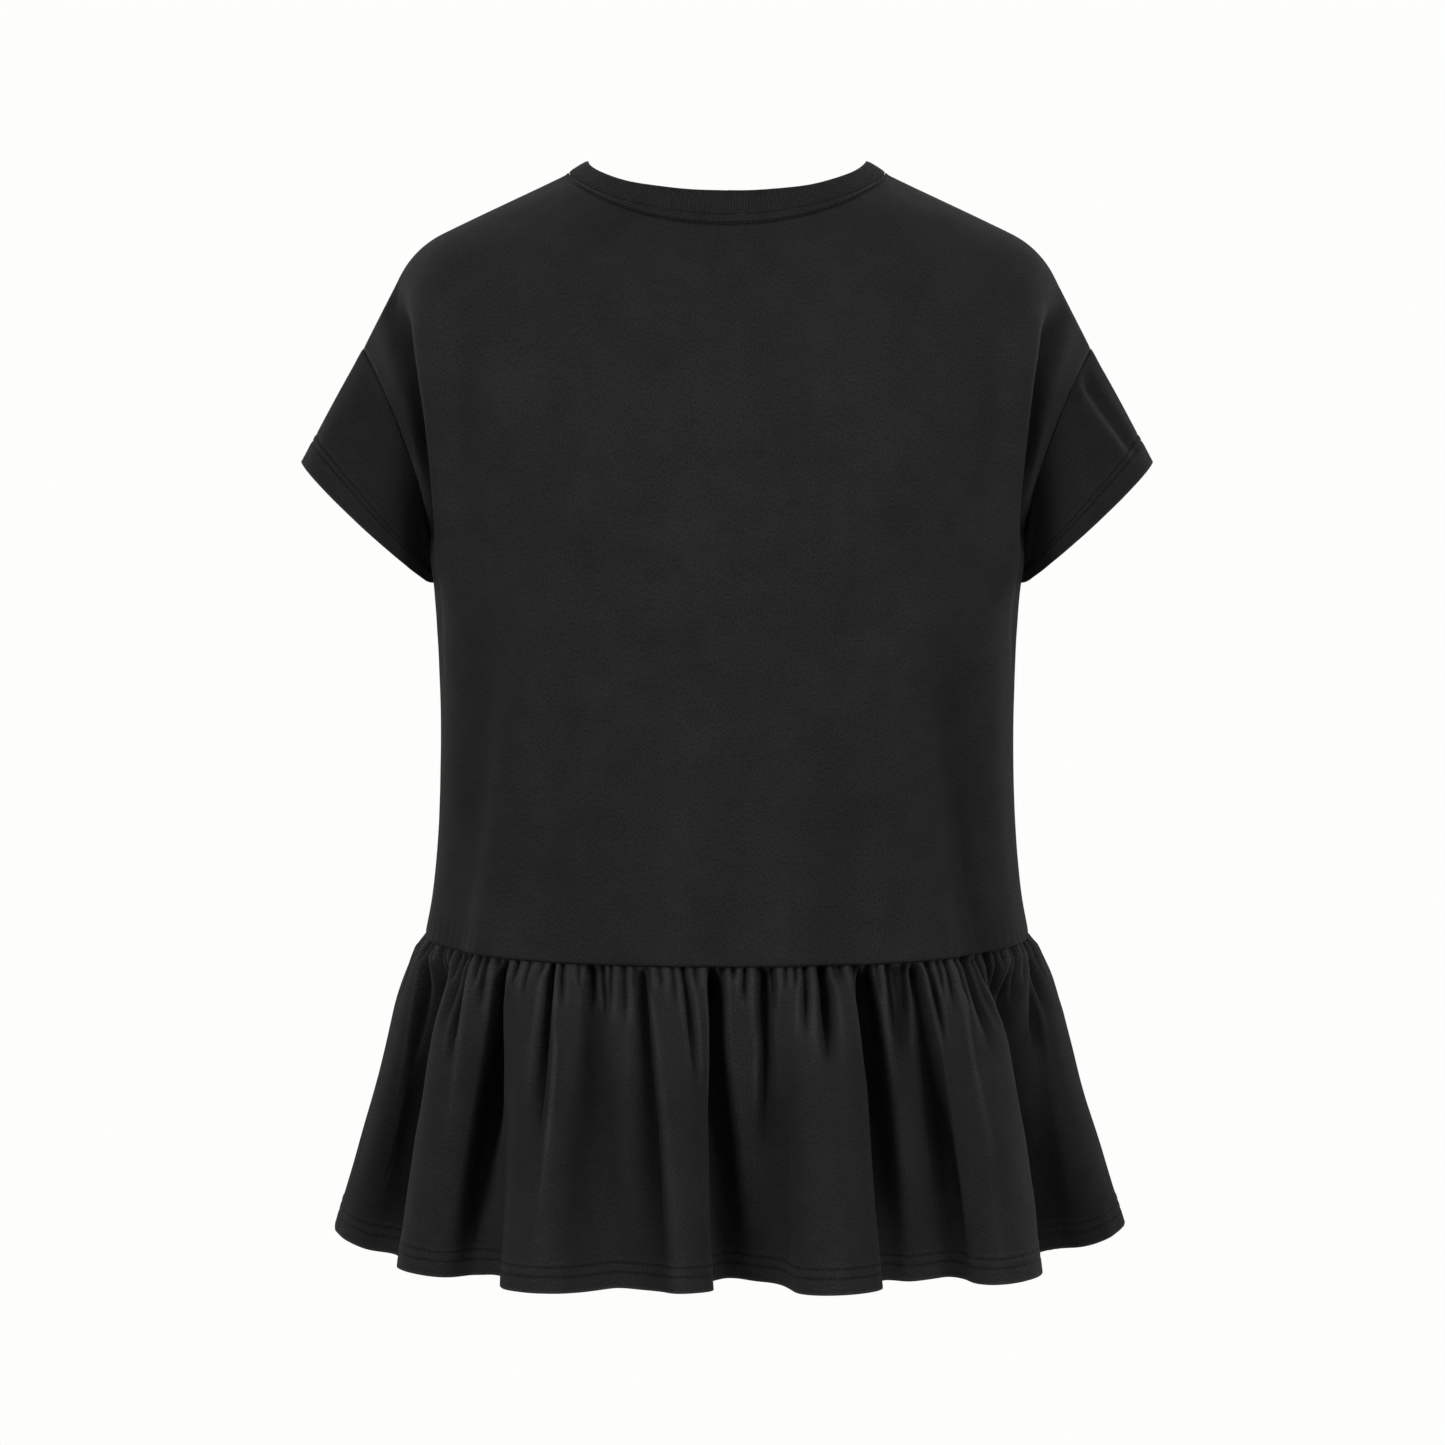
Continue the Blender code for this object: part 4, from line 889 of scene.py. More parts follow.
back, back_lines, back_waist = panel_piece("back", 1)
front, front_lines, front_waist = panel_piece("front", -1)

# %% [markdown]
# ## The sleeve's form
#
# A short set-on sleeve is a tube from the armhole to its hem. The ring starts at the underarm, runs up the
# back, over the top and down the front. It hangs down from the dropped shoulder, and its underarm just
# clears the body. A cylinder bent to shape would miss the armhole's edge, so each of the tube's lines is a
# curve that starts on that edge and ends on an oval, the hem.

# %% Armhole
ARMHOLE_STEPS = 60


def armhole_loop():
    """The left armhole's edge, up the back from the underarm and down the front."""
    edges = []
    for side in (1, -1):
        edge = panel_surface(side, np.array([0.0, 1.0]), (), np.linspace(0, 1, ARMHOLE_STEPS))[:, 1]
        edge[:, 1] += side * SEAM_GAP / 2
        edges.append(edge)
    loop = np.vstack([edges[0], edges[1][::-1]])
    along = lengths_along(np.vstack([loop, loop[:1]]))
    return loop, along[:-1] / along[-1]


ARM_LOOP, ARM_LOOP_AT = armhole_loop()
print("armhole is", round(lengths_along(np.vstack([ARM_LOOP, ARM_LOOP[:1]]))[-1]), "mm round")

# %% Sleeve form
SLEEVE_TOP = (270.5, -180.0)
SLEEVE_UNDER = (187.6, -257.0)
SLEEVE_HALF_DEPTH = 45.0
SLEEVE_LENGTH = 80.0
SLEEVE_HEM = 19.0
SLEEVE_LEAVES = {"under": (0.6, -13.0), "top": (15.0, -25.0), "round": 4.0}
SLEEVE_ARRIVES = {"under": (0.4, 12.0), "top": (-14.0, 24.0), "round": 2.0}
SLEEVE_CLEAR = {"out": 0.15, "down": 0.2}


def sleeve_surface(t, turn_shares):
    """One ring of the left sleeve: t is 0 at the armhole, 1 at the hem; turns start at the underarm."""
    turn = turn_shares * 2 * math.pi
    closed, ends = np.vstack([ARM_LOOP, ARM_LOOP[:1]]), np.append(ARM_LOOP_AT, 1)
    start = np.stack([np.interp(turn_shares, ends, axis) for axis in closed.T], -1)
    on_top = (1 - np.cos(turn)) / 2
    start[:, 0] += SLEEVE_CLEAR["out"]
    start[:, 2] -= SLEEVE_CLEAR["down"] * on_top
    top, under = np.array(SLEEVE_TOP), np.array(SLEEVE_UNDER)
    hem_xz = under + (top - under) * on_top[:, None]
    hem_y = SLEEVE_HALF_DEPTH * np.sin(turn) + SHOULDER_SEAM_Y * on_top
    hem = np.column_stack([hem_xz[:, 0], hem_y, hem_xz[:, 1]])
    ways = []
    for way in (SLEEVE_LEAVES, SLEEVE_ARRIVES):
        xz = np.outer(1 - on_top, way["under"]) + np.outer(on_top, way["top"])
        ways.append(np.column_stack([xz[:, 0], way["round"] * np.sin(turn), xz[:, 1]]))
    return bezier(start, start + ways[0], hem + ways[1], hem, t)


cuff = sleeve_surface(1.0, np.linspace(0, 1, 120))
print("the sleeve's hem is", round(lengths_along(cuff)[-1]), "mm round")

# %% [markdown]
# ## Sleeves
#
# The sleeves have a few creases of their own: a fold that the arm would fill, and one in front. Each row of
# the table says which arm it is on, where it lies round the sleeve, from 0 at the underarm up the back and
# down the front to 1, its half width, how far down it runs, and how far it stands out. The right sleeve is
# the left one mirrored, with other creases. A Mirror modifier would give it the same ones.

# %% Sleeve folds and rows
SLEEVE_FOLDS = (
    dict(arm="right", crease="outer valley", turn=0.42, half=0.020, end=0.95, out=-3.2),
    dict(arm="right", crease="outer ridge", turn=0.375, half=0.025, end=0.9, out=1.6),
    dict(arm="left", crease="outer valley", turn=0.37, half=0.05, end=0.8, out=-2.5),
    dict(arm="left", crease="front valley", turn=0.62, half=0.05, end=0.8, out=-3),
    dict(arm="right", crease="front valley", turn=0.66, half=0.05, end=0.8, out=-2.5),
)
SLEEVE_COLUMNS = 120
SLEEVE_ROWS = 26
SLEEVE_HEM_ROWS = (24, 22.4, 21, 20.2, 19.7, 19.3, 19, 18.7, 18.3, 17.6, 16.6, 15.6, 15.1, 14.7, 14.3, 13.8,
                   12.6, 11, 9.2, 7.4, 5.6, 4, 2.6, 1.6, 0.9, 0.4, 0)
SLEEVE_HEM_FROM = 24.5


def sleeve_rows():
    """Rows of the sleeve: evenly down to the hem, then at set distances from its edge."""
    upper = np.linspace(0, 1 - SLEEVE_HEM_FROM / SLEEVE_LENGTH, SLEEVE_ROWS)
    return np.concatenate([upper, 1 - np.array(SLEEVE_HEM_ROWS) / SLEEVE_LENGTH])


print("sleeve creases:", ", ".join(f"{row['arm']} {row['crease']}" for row in SLEEVE_FOLDS))

# %% Sleeves
SLEEVE_SWELL = {"height": 0.7, "seed": {"left": 51, "right": 57}, "waves": 8, "span": (45, 120)}
SLEEVE_RADIUS = 50
# The sleeves' plain level is lower than the body's: painted shade.
SLEEVE_PAINTED_SHADE = 0.31
SLEEVE_ROLL = 0.2


def sleeve_piece(arm):
    """One sleeve and the closed lines of its two stitch rows."""
    t = sleeve_rows()
    share = np.arange(SLEEVE_COLUMNS) / SLEEVE_COLUMNS
    grid = np.array([sleeve_surface(row, share) for row in t])
    outward = grid - grid.mean(axis=1, keepdims=True)
    normal = grid_normals(grid, True, outward)
    wrapped = np.concatenate([grid, grid[:, :1]], axis=1)
    across, along = grid_lengths(wrapped)
    turn, down = np.broadcast_to(share, grid.shape[:2]), t[:, None]
    out = np.zeros(grid.shape[:2])
    for fold in SLEEVE_FOLDS:
        if fold["arm"] == arm:
            window = smooth_step(0, 0.15, down) * (1 - smooth_step(fold["end"] - 0.3, fold["end"], down))
            out += fold["out"] * window * bell((turn - fold["turn"]) / fold["half"])
    angle = turn * 2 * math.pi
    around = SLEEVE_RADIUS * np.cos(angle), SLEEVE_RADIUS * np.sin(angle)
    seed, waves, span = SLEEVE_SWELL["seed"][arm], SLEEVE_SWELL["waves"], SLEEVE_SWELL["span"]
    slow = unevenness(around[0] + along[:, :-1], around[1], seed, waves, span)
    from_seam = along[:, :-1]
    to_hem = along[-1, :-1] - along[:, :-1]
    scaled = to_hem * SLEEVE_LENGTH / np.maximum(along[-1, :-1], 1)
    clear_of_body = smooth_step(0.02, 0.14, np.minimum(turn, 1 - turn))
    fade = smooth_step(0, 16, from_seam), smooth_step(0, 12, to_hem)
    out += SLEEVE_SWELL["height"] * slow * fade[0] * fade[1] * clear_of_body
    out += hem_relief(scaled, across[:, :-1], HEM_STITCHES["sleeve"][::-1], SLEEVE_HEM)
    out -= SLEEVE_ROLL * (1 - smooth_step(0.2, 1.6, from_seam))
    grid = grid + normal * out[..., None]
    normal = grid_normals(grid, True, outward)
    thick = hem_thickness(scaled, np.minimum(from_seam, to_hem), SLEEVE_HEM)
    uv = np.stack([across, -along], -1)
    if arm == "right":
        grid[..., 0] *= -1
        normal[..., 0] *= -1
    # Painted light and shade: a darker sleeve, a painted highlight at the hem edge, painted shade in the
    # stitch grooves.
    painted_light_and_wear = SLEEVE_PAINTED_SHADE + HEM_EDGE_HIGHLIGHT * (1 - smooth_step(0.6, 2.4, scaled))
    painted_light_and_wear = painted_light_and_wear + hem_tone_and_groove_shade(scaled, HEM_STITCHES["sleeve"])
    armhole = seam_allowance(grid[0], unit(grid[0] - grid[1]), normal[0], closed=True)
    piece = cloth_piece(
        f"sleeve_{arm}_cloth", grid, normal, thick, uv, JERSEY, closed=True, painted_light_and_wear=painted_light_and_wear, allowances=[armhole]
    )
    lines = [line_at(grid, normal, scaled, row) for row in HEM_STITCHES["sleeve"]]
    return piece, [np.vstack([line, line[:1]]) for line in lines]


sleeve_left, sleeve_left_lines = sleeve_piece("left")
sleeve_right, sleeve_right_lines = sleeve_piece("right")

# %% [markdown]
# ## The flutes of the ruffle
#
# A gathered strip can't lie flat: at the hem it swings in deep flutes. Seen in plan, each flute starts,
# crests, turns in and dips before the next one, and some lean so far that they hide the dip behind them. A
# sine wave round the hem would look like a lampshade, because no two real flutes are alike. The row says
# where each of those points lies at the hem, and where the dip starts at the waist seam.

# %% Flutes of the back and front
FLUTES_BACK = (
    dict(start=(257, -23), crest=(236, 14), turn=(215, 19), dip=(210, 34), seam=0.834),
    dict(start=(209, 66), crest=(181, 87), turn=(152, 78), dip=(141, 84), seam=0.55),
    dict(start=(142, 122), crest=(113, 147), turn=(85, 133), dip=(69, 124), seam=0.36),
    dict(start=(54, 135), crest=(29, 152), turn=(8, 134), dip=(10, 108), seam=0.034),
    dict(start=(2, 106), crest=(-14, 108), turn=(-29, 113), dip=(-37, 122), seam=-0.13),
    dict(start=(-45, 141), crest=(-71, 152), turn=(-97, 132), dip=(-96, 102), seam=-0.333),
    dict(start=(-104, 101), crest=(-115, 102), turn=(-128, 95), dip=(-141, 88), seam=-0.51),
    dict(start=(-154, 102), crest=(-174, 115), turn=(-199, 82), dip=(-201, 26), seam=-0.89),
    dict(start=(-212, 9), crest=(-228, 8), turn=(-245, 0), dip=(-261, -28), seam=-1.0),
)
FLUTES_FRONT = (
    dict(start=(252, -58), crest=(232, -86), turn=(205, -88), dip=(196, -70), seam=0.77),
    dict(start=(189, -98), crest=(166, -124), turn=(138, -121), dip=(131, -96), seam=0.52),
    dict(start=(119, -118), crest=(97, -147), turn=(67, -146), dip=(62, -116), seam=0.25),
    dict(start=(48, -128), crest=(29, -151), turn=(4, -147), dip=(-3, -121), seam=0.0),
    dict(start=(-16, -134), crest=(-36, -153), turn=(-63, -147), dip=(-67, -117), seam=-0.26),
    dict(start=(-82, -124), crest=(-104, -146), turn=(-132, -132), dip=(-134, -106), seam=-0.5),
    dict(start=(-150, -108), crest=(-171, -124), turn=(-198, -106), dip=(-195, -78), seam=-0.76),
    dict(start=(-214, -72), crest=(-234, -82), turn=(-254, -62), dip=(-261, -28), seam=-1.0),
)
print(len(FLUTES_BACK), "flutes on the back and", len(FLUTES_FRONT), "on the front")

# %% [markdown]
# ## Its valleys
#
# From the seam a few long valleys run down between the flutes. Each row is one valley: where it starts at
# the seam and ends at the hem, how deep it draws the cloth in, its half width at both ends, how far down it
# reaches, and on which side its wall is steep, because gathered cloth tends to fold over to one side. A
# depth below 0 is a ridge.

# %% Valleys of the back and front
VALLEYS_BACK = (
    dict(top=0.757, low=0.872, depth=26.0, half=0.044, wide=0.055, reach=1.15, steep=-1, opens=0.16),
    dict(top=0.690, low=0.720, depth=6.0, half=0.009, wide=0.020, reach=0.28, steep=0),
    dict(top=0.640, low=0.690, depth=-2.5, half=0.010, wide=0.018, reach=0.70, steep=1, start=0.06),
    dict(top=0.560, low=0.612, depth=28.0, half=0.009, wide=0.020, reach=1.12, steep=-1),
    dict(top=0.370, low=0.430, depth=11.0, half=0.010, wide=0.028, reach=0.62, steep=-1),
    dict(top=0.345, low=0.405, depth=-2.0, half=0.009, wide=0.014, reach=1.05, steep=1, start=0.18),
    dict(top=0.240, low=0.325, depth=7.0, half=0.011, wide=0.040, reach=1.20, steep=0),
    dict(top=0.155, low=0.190, depth=12.0, half=0.007, wide=0.036, reach=1.35, steep=-1),
    dict(top=0.030, low=0.004, depth=20.0, half=0.007, wide=0.021, reach=1.30, steep=1),
    dict(top=-0.062, low=-0.048, depth=9.0, half=0.008, wide=0.020, reach=0.65, steep=1),
    dict(top=-0.070, low=-0.058, depth=3.5, half=0.025, wide=0.045, reach=1.70, steep=0, start=0.35),
    dict(top=-0.225, low=-0.190, depth=6.0, half=0.010, wide=0.026, reach=0.36, steep=0),
    dict(top=-0.345, low=-0.368, depth=22.0, half=0.013, wide=0.020, reach=1.08, steep=1),
    dict(top=-0.405, low=-0.425, depth=10.0, half=0.009, wide=0.026, reach=0.45, steep=0),
    dict(top=-0.438, low=-0.490, depth=13.0, half=0.009, wide=0.027, reach=1.22, steep=-1),
    dict(top=-0.515, low=-0.600, depth=-2.2, half=0.010, wide=0.016, reach=0.75, steep=-1, start=0.08),
    dict(top=-0.585, low=-0.690, depth=6.0, half=0.009, wide=0.020, reach=0.30, steep=0),
    dict(top=-0.645, low=-0.820, depth=24.0, half=0.050, wide=0.075, reach=1.40, steep=1, opens=0.18),
)
VALLEYS_FRONT = (
    dict(top=0.780, low=0.820, depth=11.0, half=0.013, wide=0.032, reach=1.15, steep=1),
    dict(top=0.650, low=0.700, depth=6.0, half=0.010, wide=0.024, reach=0.40, steep=0),
    dict(top=0.540, low=0.570, depth=13.0, half=0.013, wide=0.030, reach=1.25, steep=-1),
    dict(top=0.420, low=0.440, depth=7.0, half=0.012, wide=0.030, reach=0.70, steep=0),
    dict(top=0.270, low=0.300, depth=14.0, half=0.013, wide=0.030, reach=1.20, steep=-1),
    dict(top=0.140, low=0.150, depth=6.5, half=0.011, wide=0.026, reach=0.55, steep=1),
    dict(top=0.010, low=0.020, depth=14.0, half=0.014, wide=0.030, reach=1.30, steep=1),
    dict(top=-0.120, low=-0.160, depth=7.5, half=0.010, wide=0.028, reach=0.80, steep=-1),
    dict(top=-0.250, low=-0.270, depth=12.0, half=0.013, wide=0.028, reach=1.20, steep=1),
    dict(top=-0.360, low=-0.400, depth=6.0, half=0.010, wide=0.024, reach=0.45, steep=0),
    dict(top=-0.480, low=-0.510, depth=14.0, half=0.013, wide=0.030, reach=1.25, steep=1),
    dict(top=-0.620, low=-0.640, depth=6.5, half=0.011, wide=0.026, reach=0.60, steep=-1),
    dict(top=-0.740, low=-0.790, depth=12.0, half=0.013, wide=0.030, reach=1.10, steep=-1),
)
print(len(VALLEYS_BACK), "valleys on the back and", len(VALLEYS_FRONT), "on the front")

# %% [markdown]
# ## The ruffle's form
#
# The hem is one closed line in plan, and the seam another. The strip between them swings out quickly below
# the seam, as gathered cloth does, and its flutes open slower. It could be draped by a cloth simulation, but
# the flutes would fall by chance, and never as in the photograph. So the hem is drawn as one smooth curve
# through the flutes' points, and each column of cloth runs from its place on the seam to its place on the
# hem.

# %% The hem in plan
HEM_STEPS = 1600
IRONING_STEPS = 189
CURVE_STEPS = 12
CURVE_SOFTENING = 20


def hem_plan():
    """The ruffle's hem in plan for each side, from the wearer's left seam to the right, in equal steps.

    Each row holds a point of the fluted hem and, beside it, the same hem with its flutes ironed out.
    """
    keys = ("start", "crest", "turn", "dip")
    back = [row[key] for row in FLUTES_BACK for key in keys]
    front = [row[key] for row in FLUTES_FRONT for key in keys]
    loop = np.array(back + front[-2::-1], float)
    dense, count = [], len(loop)
    for i in range(count):
        a, b, c, d = (loop[(i + k) % count] for k in (-1, 0, 1, 2))
        ka, kb, kc = (np.linalg.norm(q - p) ** 0.5 for p, q in ((a, b), (b, c), (c, d)))
        leave = ((b - a) / ka - (c - a) / (ka + kb) + (c - b) / kb) * kb
        reach = ((c - b) / kb - (d - b) / (kb + kc) + (d - c) / kc) * kb
        dense += [bezier(b, b + leave / 3, c - reach / 3, c, t) for t in np.arange(CURVE_STEPS) / CURVE_STEPS]
    dense = np.array(dense)
    for _ in range(CURVE_SOFTENING):
        dense = dense * 0.5 + (np.roll(dense, 1, axis=0) + np.roll(dense, -1, axis=0)) * 0.25
    closed = np.vstack([dense, dense[:1]])
    even = by_length(closed, np.arange(HEM_STEPS) / HEM_STEPS)
    weights = np.hanning(IRONING_STEPS)
    wrapped = np.vstack([even[-(IRONING_STEPS // 2):], even, even[:IRONING_STEPS // 2]])
    ironed = np.stack([np.convolve(axis, weights / weights.sum(), "valid") for axis in wrapped.T], -1)
    rows = np.hstack([even, ironed])
    right = int(np.argmin(np.linalg.norm(even - loop[len(back) - 1], axis=1)))
    return {1: rows[:right + 1], -1: np.vstack([rows[right:], rows[:1]])[::-1]}


HEM_LINES = hem_plan()
for side, name in ((1, "back"), (-1, "front")):
    print("hem of the", name, "half:", round(lengths_along(HEM_LINES[side][:, :2])[-1]), "mm of cloth")

# %% Columns and rows
RUFFLE_DEPTH = 203.0
RUFFLE_SIDE_EXTRA = 9.0
RUFFLE_SWING = 0.6
FLUTE_GROWTH = 0.7


def seam_places(side):
    """Where the flutes' dips lie across the hem, and where each of them starts along the seam."""
    line, flutes = HEM_LINES[side], FLUTES_BACK if side > 0 else FLUTES_FRONT
    even = np.linspace(1, -1, len(line))
    dips = [even[np.argmin(np.linalg.norm(line[:, :2] - row["dip"], axis=1))] for row in flutes[-2::-1]]
    return [-1.0] + dips + [1.0], [-1.0] + [row["seam"] for row in flutes[-2::-1]] + [1.0]


def ruffle_frame(side, w):
    """What a column of the ruffle needs: its seam point, the way out, its hem points and its drop."""
    line = HEM_LINES[side]
    even = np.linspace(1, -1, len(line))
    u = np.interp(w, *seam_places(side))
    hem = np.stack([np.interp(-w, -even, axis) for axis in line.T], -1)
    seam = ring_row(WAIST_Z, side, u)
    seam[:, 2] -= SEAM_DIP * np.cos(u * math.pi / 2) + SEAM_GAP
    behind, ahead = (ring_row(WAIST_Z, side, np.clip(u + step, -1, 1)) for step in (-0.004, 0.004))
    along = ahead - behind
    out = unit(np.stack([-along[:, 1], along[:, 0]], -1) * side)
    spread = np.linalg.norm(hem[:, :2] - seam[:, :2], axis=1)
    depth = RUFFLE_DEPTH + RUFFLE_SIDE_EXTRA * u**2
    return {"seam": seam, "out": out, "fluted": hem[:, :2], "ironed": hem[:, 2:], "depth": depth,
            "drop": np.sqrt(depth**2 - spread**2)}


def follow(side, own, t):
    """Where a column lies across the ruffle at a height: columns run down along the valleys."""
    rows = sorted(VALLEYS_BACK if side > 0 else VALLEYS_FRONT, key=lambda row: row["top"])
    tops = [-1.0] + [row["top"] for row in rows] + [1.0]
    shifts = [0.0] + [row["low"] - row["top"] for row in rows] + [0.0]
    return own + np.interp(own, tops, shifts) * t


def ruffle_row(t, columns):
    """One row of the ruffle: t is 0 at the seam and 1 at the hem, and may differ from column to column."""
    swing = (t + RUFFLE_SWING * t * (1 - t) ** 4)[:, None]
    plan = columns["seam"][:, :2] + (columns["ironed"] - columns["seam"][:, :2]) * swing
    plan = plan + (columns["fluted"] - columns["ironed"]) * (t**FLUTE_GROWTH)[:, None]
    return np.column_stack([plan, columns["seam"][:, 2] - columns["drop"] * t])


print("the ruffle drops", round(ruffle_frame(1, np.array([0.0]))["drop"][0]), "mm in the middle of the back")

# %% [markdown]
# ## The gathers
#
# Right under the seam the cloth is drawn up on a thread, and each tuck of the thread starts one small
# gather. The gathers are even along the seam. They run out at uneven depths, most of them soon, a few of
# them halfway down, and the long valleys carry on from there into the flutes. Their sizes are drawn at
# random between limits, with a fixed seed, so that the ruffle is the same on every run. The grid's columns
# crowd together at the walls of the gathers, where the cloth turns sharply.

# %% Gathers
GATHER_KINDS = (
    dict(depth=(2.8, 5.2), reach=(0.05, 0.17), half=0.0060),
    dict(depth=(4.6, 6.6), reach=(0.14, 0.30), half=0.0070),
    dict(depth=(6.4, 9.5), reach=(0.26, 0.58), half=0.0085),
)
GATHER_SHARES = (0.55, 0.25, 0.20)
GATHER_SEED = 90
GATHER_SPREADS = 1.5


def short_gathers(side):
    """The fine gathers right under the seam: one for each tuck that the gathering thread makes."""
    rng = np.random.default_rng(GATHER_SEED + side)
    across, seam = seam_places(side)
    rows = []
    for i in range(GATHER_COUNT):
        kind = GATHER_KINDS[rng.choice(3, p=GATHER_SHARES)]
        u = -1 + (2 * i + 1) / GATHER_COUNT + rng.uniform(-0.008, 0.008)
        at, half = np.interp(u, seam, across), kind["half"] * rng.uniform(0.8, 1.15)
        half = (np.interp(u + half, seam, across) - np.interp(u - half, seam, across)) / 2
        rows.append(dict(top=at, low=at + rng.uniform(-0.03, 0.03), depth=rng.uniform(*kind["depth"]),
                         half=half, wide=half * GATHER_SPREADS, reach=rng.uniform(*kind["reach"]), steep=0,
                         opens=0.010))
    return rows


print(GATHER_COUNT, "gathers on each half, of", len(GATHER_KINDS), "kinds")

# %% Columns at the gathers
CROWDING = {"valley": (1.4, 0.024), "gather": (1.6, 0.007)}


def own_columns(side, count):
    """Columns across the seam, closer together at the valleys' walls."""
    w = np.linspace(-1, 1, 4001)
    crowd = 1.0
    valleys = VALLEYS_BACK if side > 0 else VALLEYS_FRONT
    for kind, rows in (("valley", valleys), ("gather", short_gathers(side))):
        more, half = CROWDING[kind]
        crowd = crowd + more * sum(bell((w - row["top"]) / half) for row in rows)
    along = np.concatenate([[0], np.cumsum((crowd[1:] + crowd[:-1]) / 2)])
    return np.interp(np.linspace(0, along[-1], count + 1), along, w)


RUFFLE_COLUMNS = 580
steps = np.diff(own_columns(1, RUFFLE_COLUMNS))
print("columns stand", round(steps.max() / steps.min(), 1), "times closer at the gathers than between them")

# %% Relief of the gathers
GATHER_PUFF = 3.0
STEEP_WALL = 0.5


def hollow(distance, steep=0):
    """A trough: 1 at 0 and nearly 0 at 3. steep is the side, -1 or 1, on which its wall is sharp."""
    width = np.where(distance * steep > 0, STEEP_WALL, 1.0)
    return np.exp(-0.5 * (distance / width) ** 2)


def gather_relief(side, own, w, t):
    """How far the gathers' valleys draw the cloth in, with the crests between them puffed out a little."""
    out = np.zeros(t.shape)
    named = VALLEYS_BACK if side > 0 else VALLEYS_FRONT
    rows = [(own, row) for row in short_gathers(side)] + [(w, row) for row in named]
    for across, row in rows:
        middle = row["top"] + (row["low"] - row["top"]) * t
        width = row["half"] + (row["wide"] - row["half"]) * t
        start = row.get("start", 0.0)
        opens = row.get("opens", max(0.008 + 0.0028 * abs(row["depth"]), start / 2))
        window = smooth_step(start - 0.001, start + opens, t)
        window = window * (1 - smooth_step(row["reach"] * 0.35, row["reach"], t))
        out -= row["depth"] * hollow((across - middle) / width, row["steep"]) * window
    puff = GATHER_PUFF * smooth_step(0, 0.05, t) * (1 - smooth_step(0.1, 0.5, t))
    return out + puff


print("a trough at 0, 1, 3:", [round(float(hollow(np.array(x))), 2) for x in (0, 1, 3)])

# %% [markdown]
# ## Ruffle
#
# The ruffle is the piece that makes this garment. Its grid follows the cloth itself, so the flutes fold over
# their own dips. Its upper edge takes the exact line of the panel's lower edge, folds and all, and eases
# back to its own form over a few centimetres, so that the waist seam stays closed. Near the hem the rows
# close up to less than a millimetre, where two rows of stitches press narrow grooves into the cloth.

# %% Rows of the ruffle
RUFFLE_ROWS = 56
HEM_ROWS = (24, 22, 20.6, 19.6, 18.6, 17.6, 16.8, 16.4, 16, 15.6, 15.2, 14.2, 13, 11.8, 10.8, 10.4, 10, 9.6,
            9.2, 8, 6.4, 4.8, 3.4, 2.2, 1.3, 0.7, 0.3, 0)
HEM_FROM = 25
ROW_CROWDING = 1.15


def ruffle_shares(columns):
    """Rows of the ruffle for every column: evenly down to the hem, then at set distances from its edge."""
    depth = columns["depth"]
    upper = np.linspace(0, 1, RUFFLE_ROWS)[:, None] ** ROW_CROWDING * (1 - HEM_FROM / depth)[None, :]
    near_hem = 1 - np.array(HEM_ROWS)[:, None] / depth[None, :]
    return np.vstack([upper, near_hem])


print("the ruffle has", RUFFLE_ROWS + len(HEM_ROWS), "rows")

# %% Upper edge of the ruffle
SEAM_FOLLOW = 60.0
SEAM_LEVEL = (2, 12)


def join_waist(side, grid, share, waist):
    """Eases the ruffle's grid onto the waist edge of its panel."""
    seam_share = np.interp(share[0], *seam_places(side))
    seam = np.stack([np.interp(seam_share, waist[0], axis) for axis in waist[1].T], -1)
    seam[:, 1] -= side * SEAM_GAP / 2
    seam[:, 2] -= SEAM_GAP
    along = grid_lengths(grid)[1]
    return grid + (seam - grid[0]) * (1 - smooth_step(0, SEAM_FOLLOW, along))[..., None], along


def level_normals(normal, along):
    """Turns the normals next to the seam level, so that the gathers there move out and in alone."""
    level = (1 - smooth_step(*SEAM_LEVEL, along))[..., None]
    return unit(normal * (1 - level) + unit(normal * (1, 1, 0)) * level)


print("the ruffle follows its panel over", SEAM_FOLLOW, "mm")

# %% Ruffles
RUFFLE_HEM = 20.0
RUFFLE_SWELL = {"height": 0.5, "seed": 81, "waves": 8, "span": (30, 110)}
RUFFLE_ROLL = {"seam": 1.3, "side": 0.12}
# Painted shade in the valleys, a little paler on the puffed crests, and darker towards the sides.
VALLEY_PAINTED_LIGHT_AND_SHADE = {"for": 24, "low": -0.45, "high": 0.06}
RUFFLE_SIDE_PAINTED_SHADE = 0.15


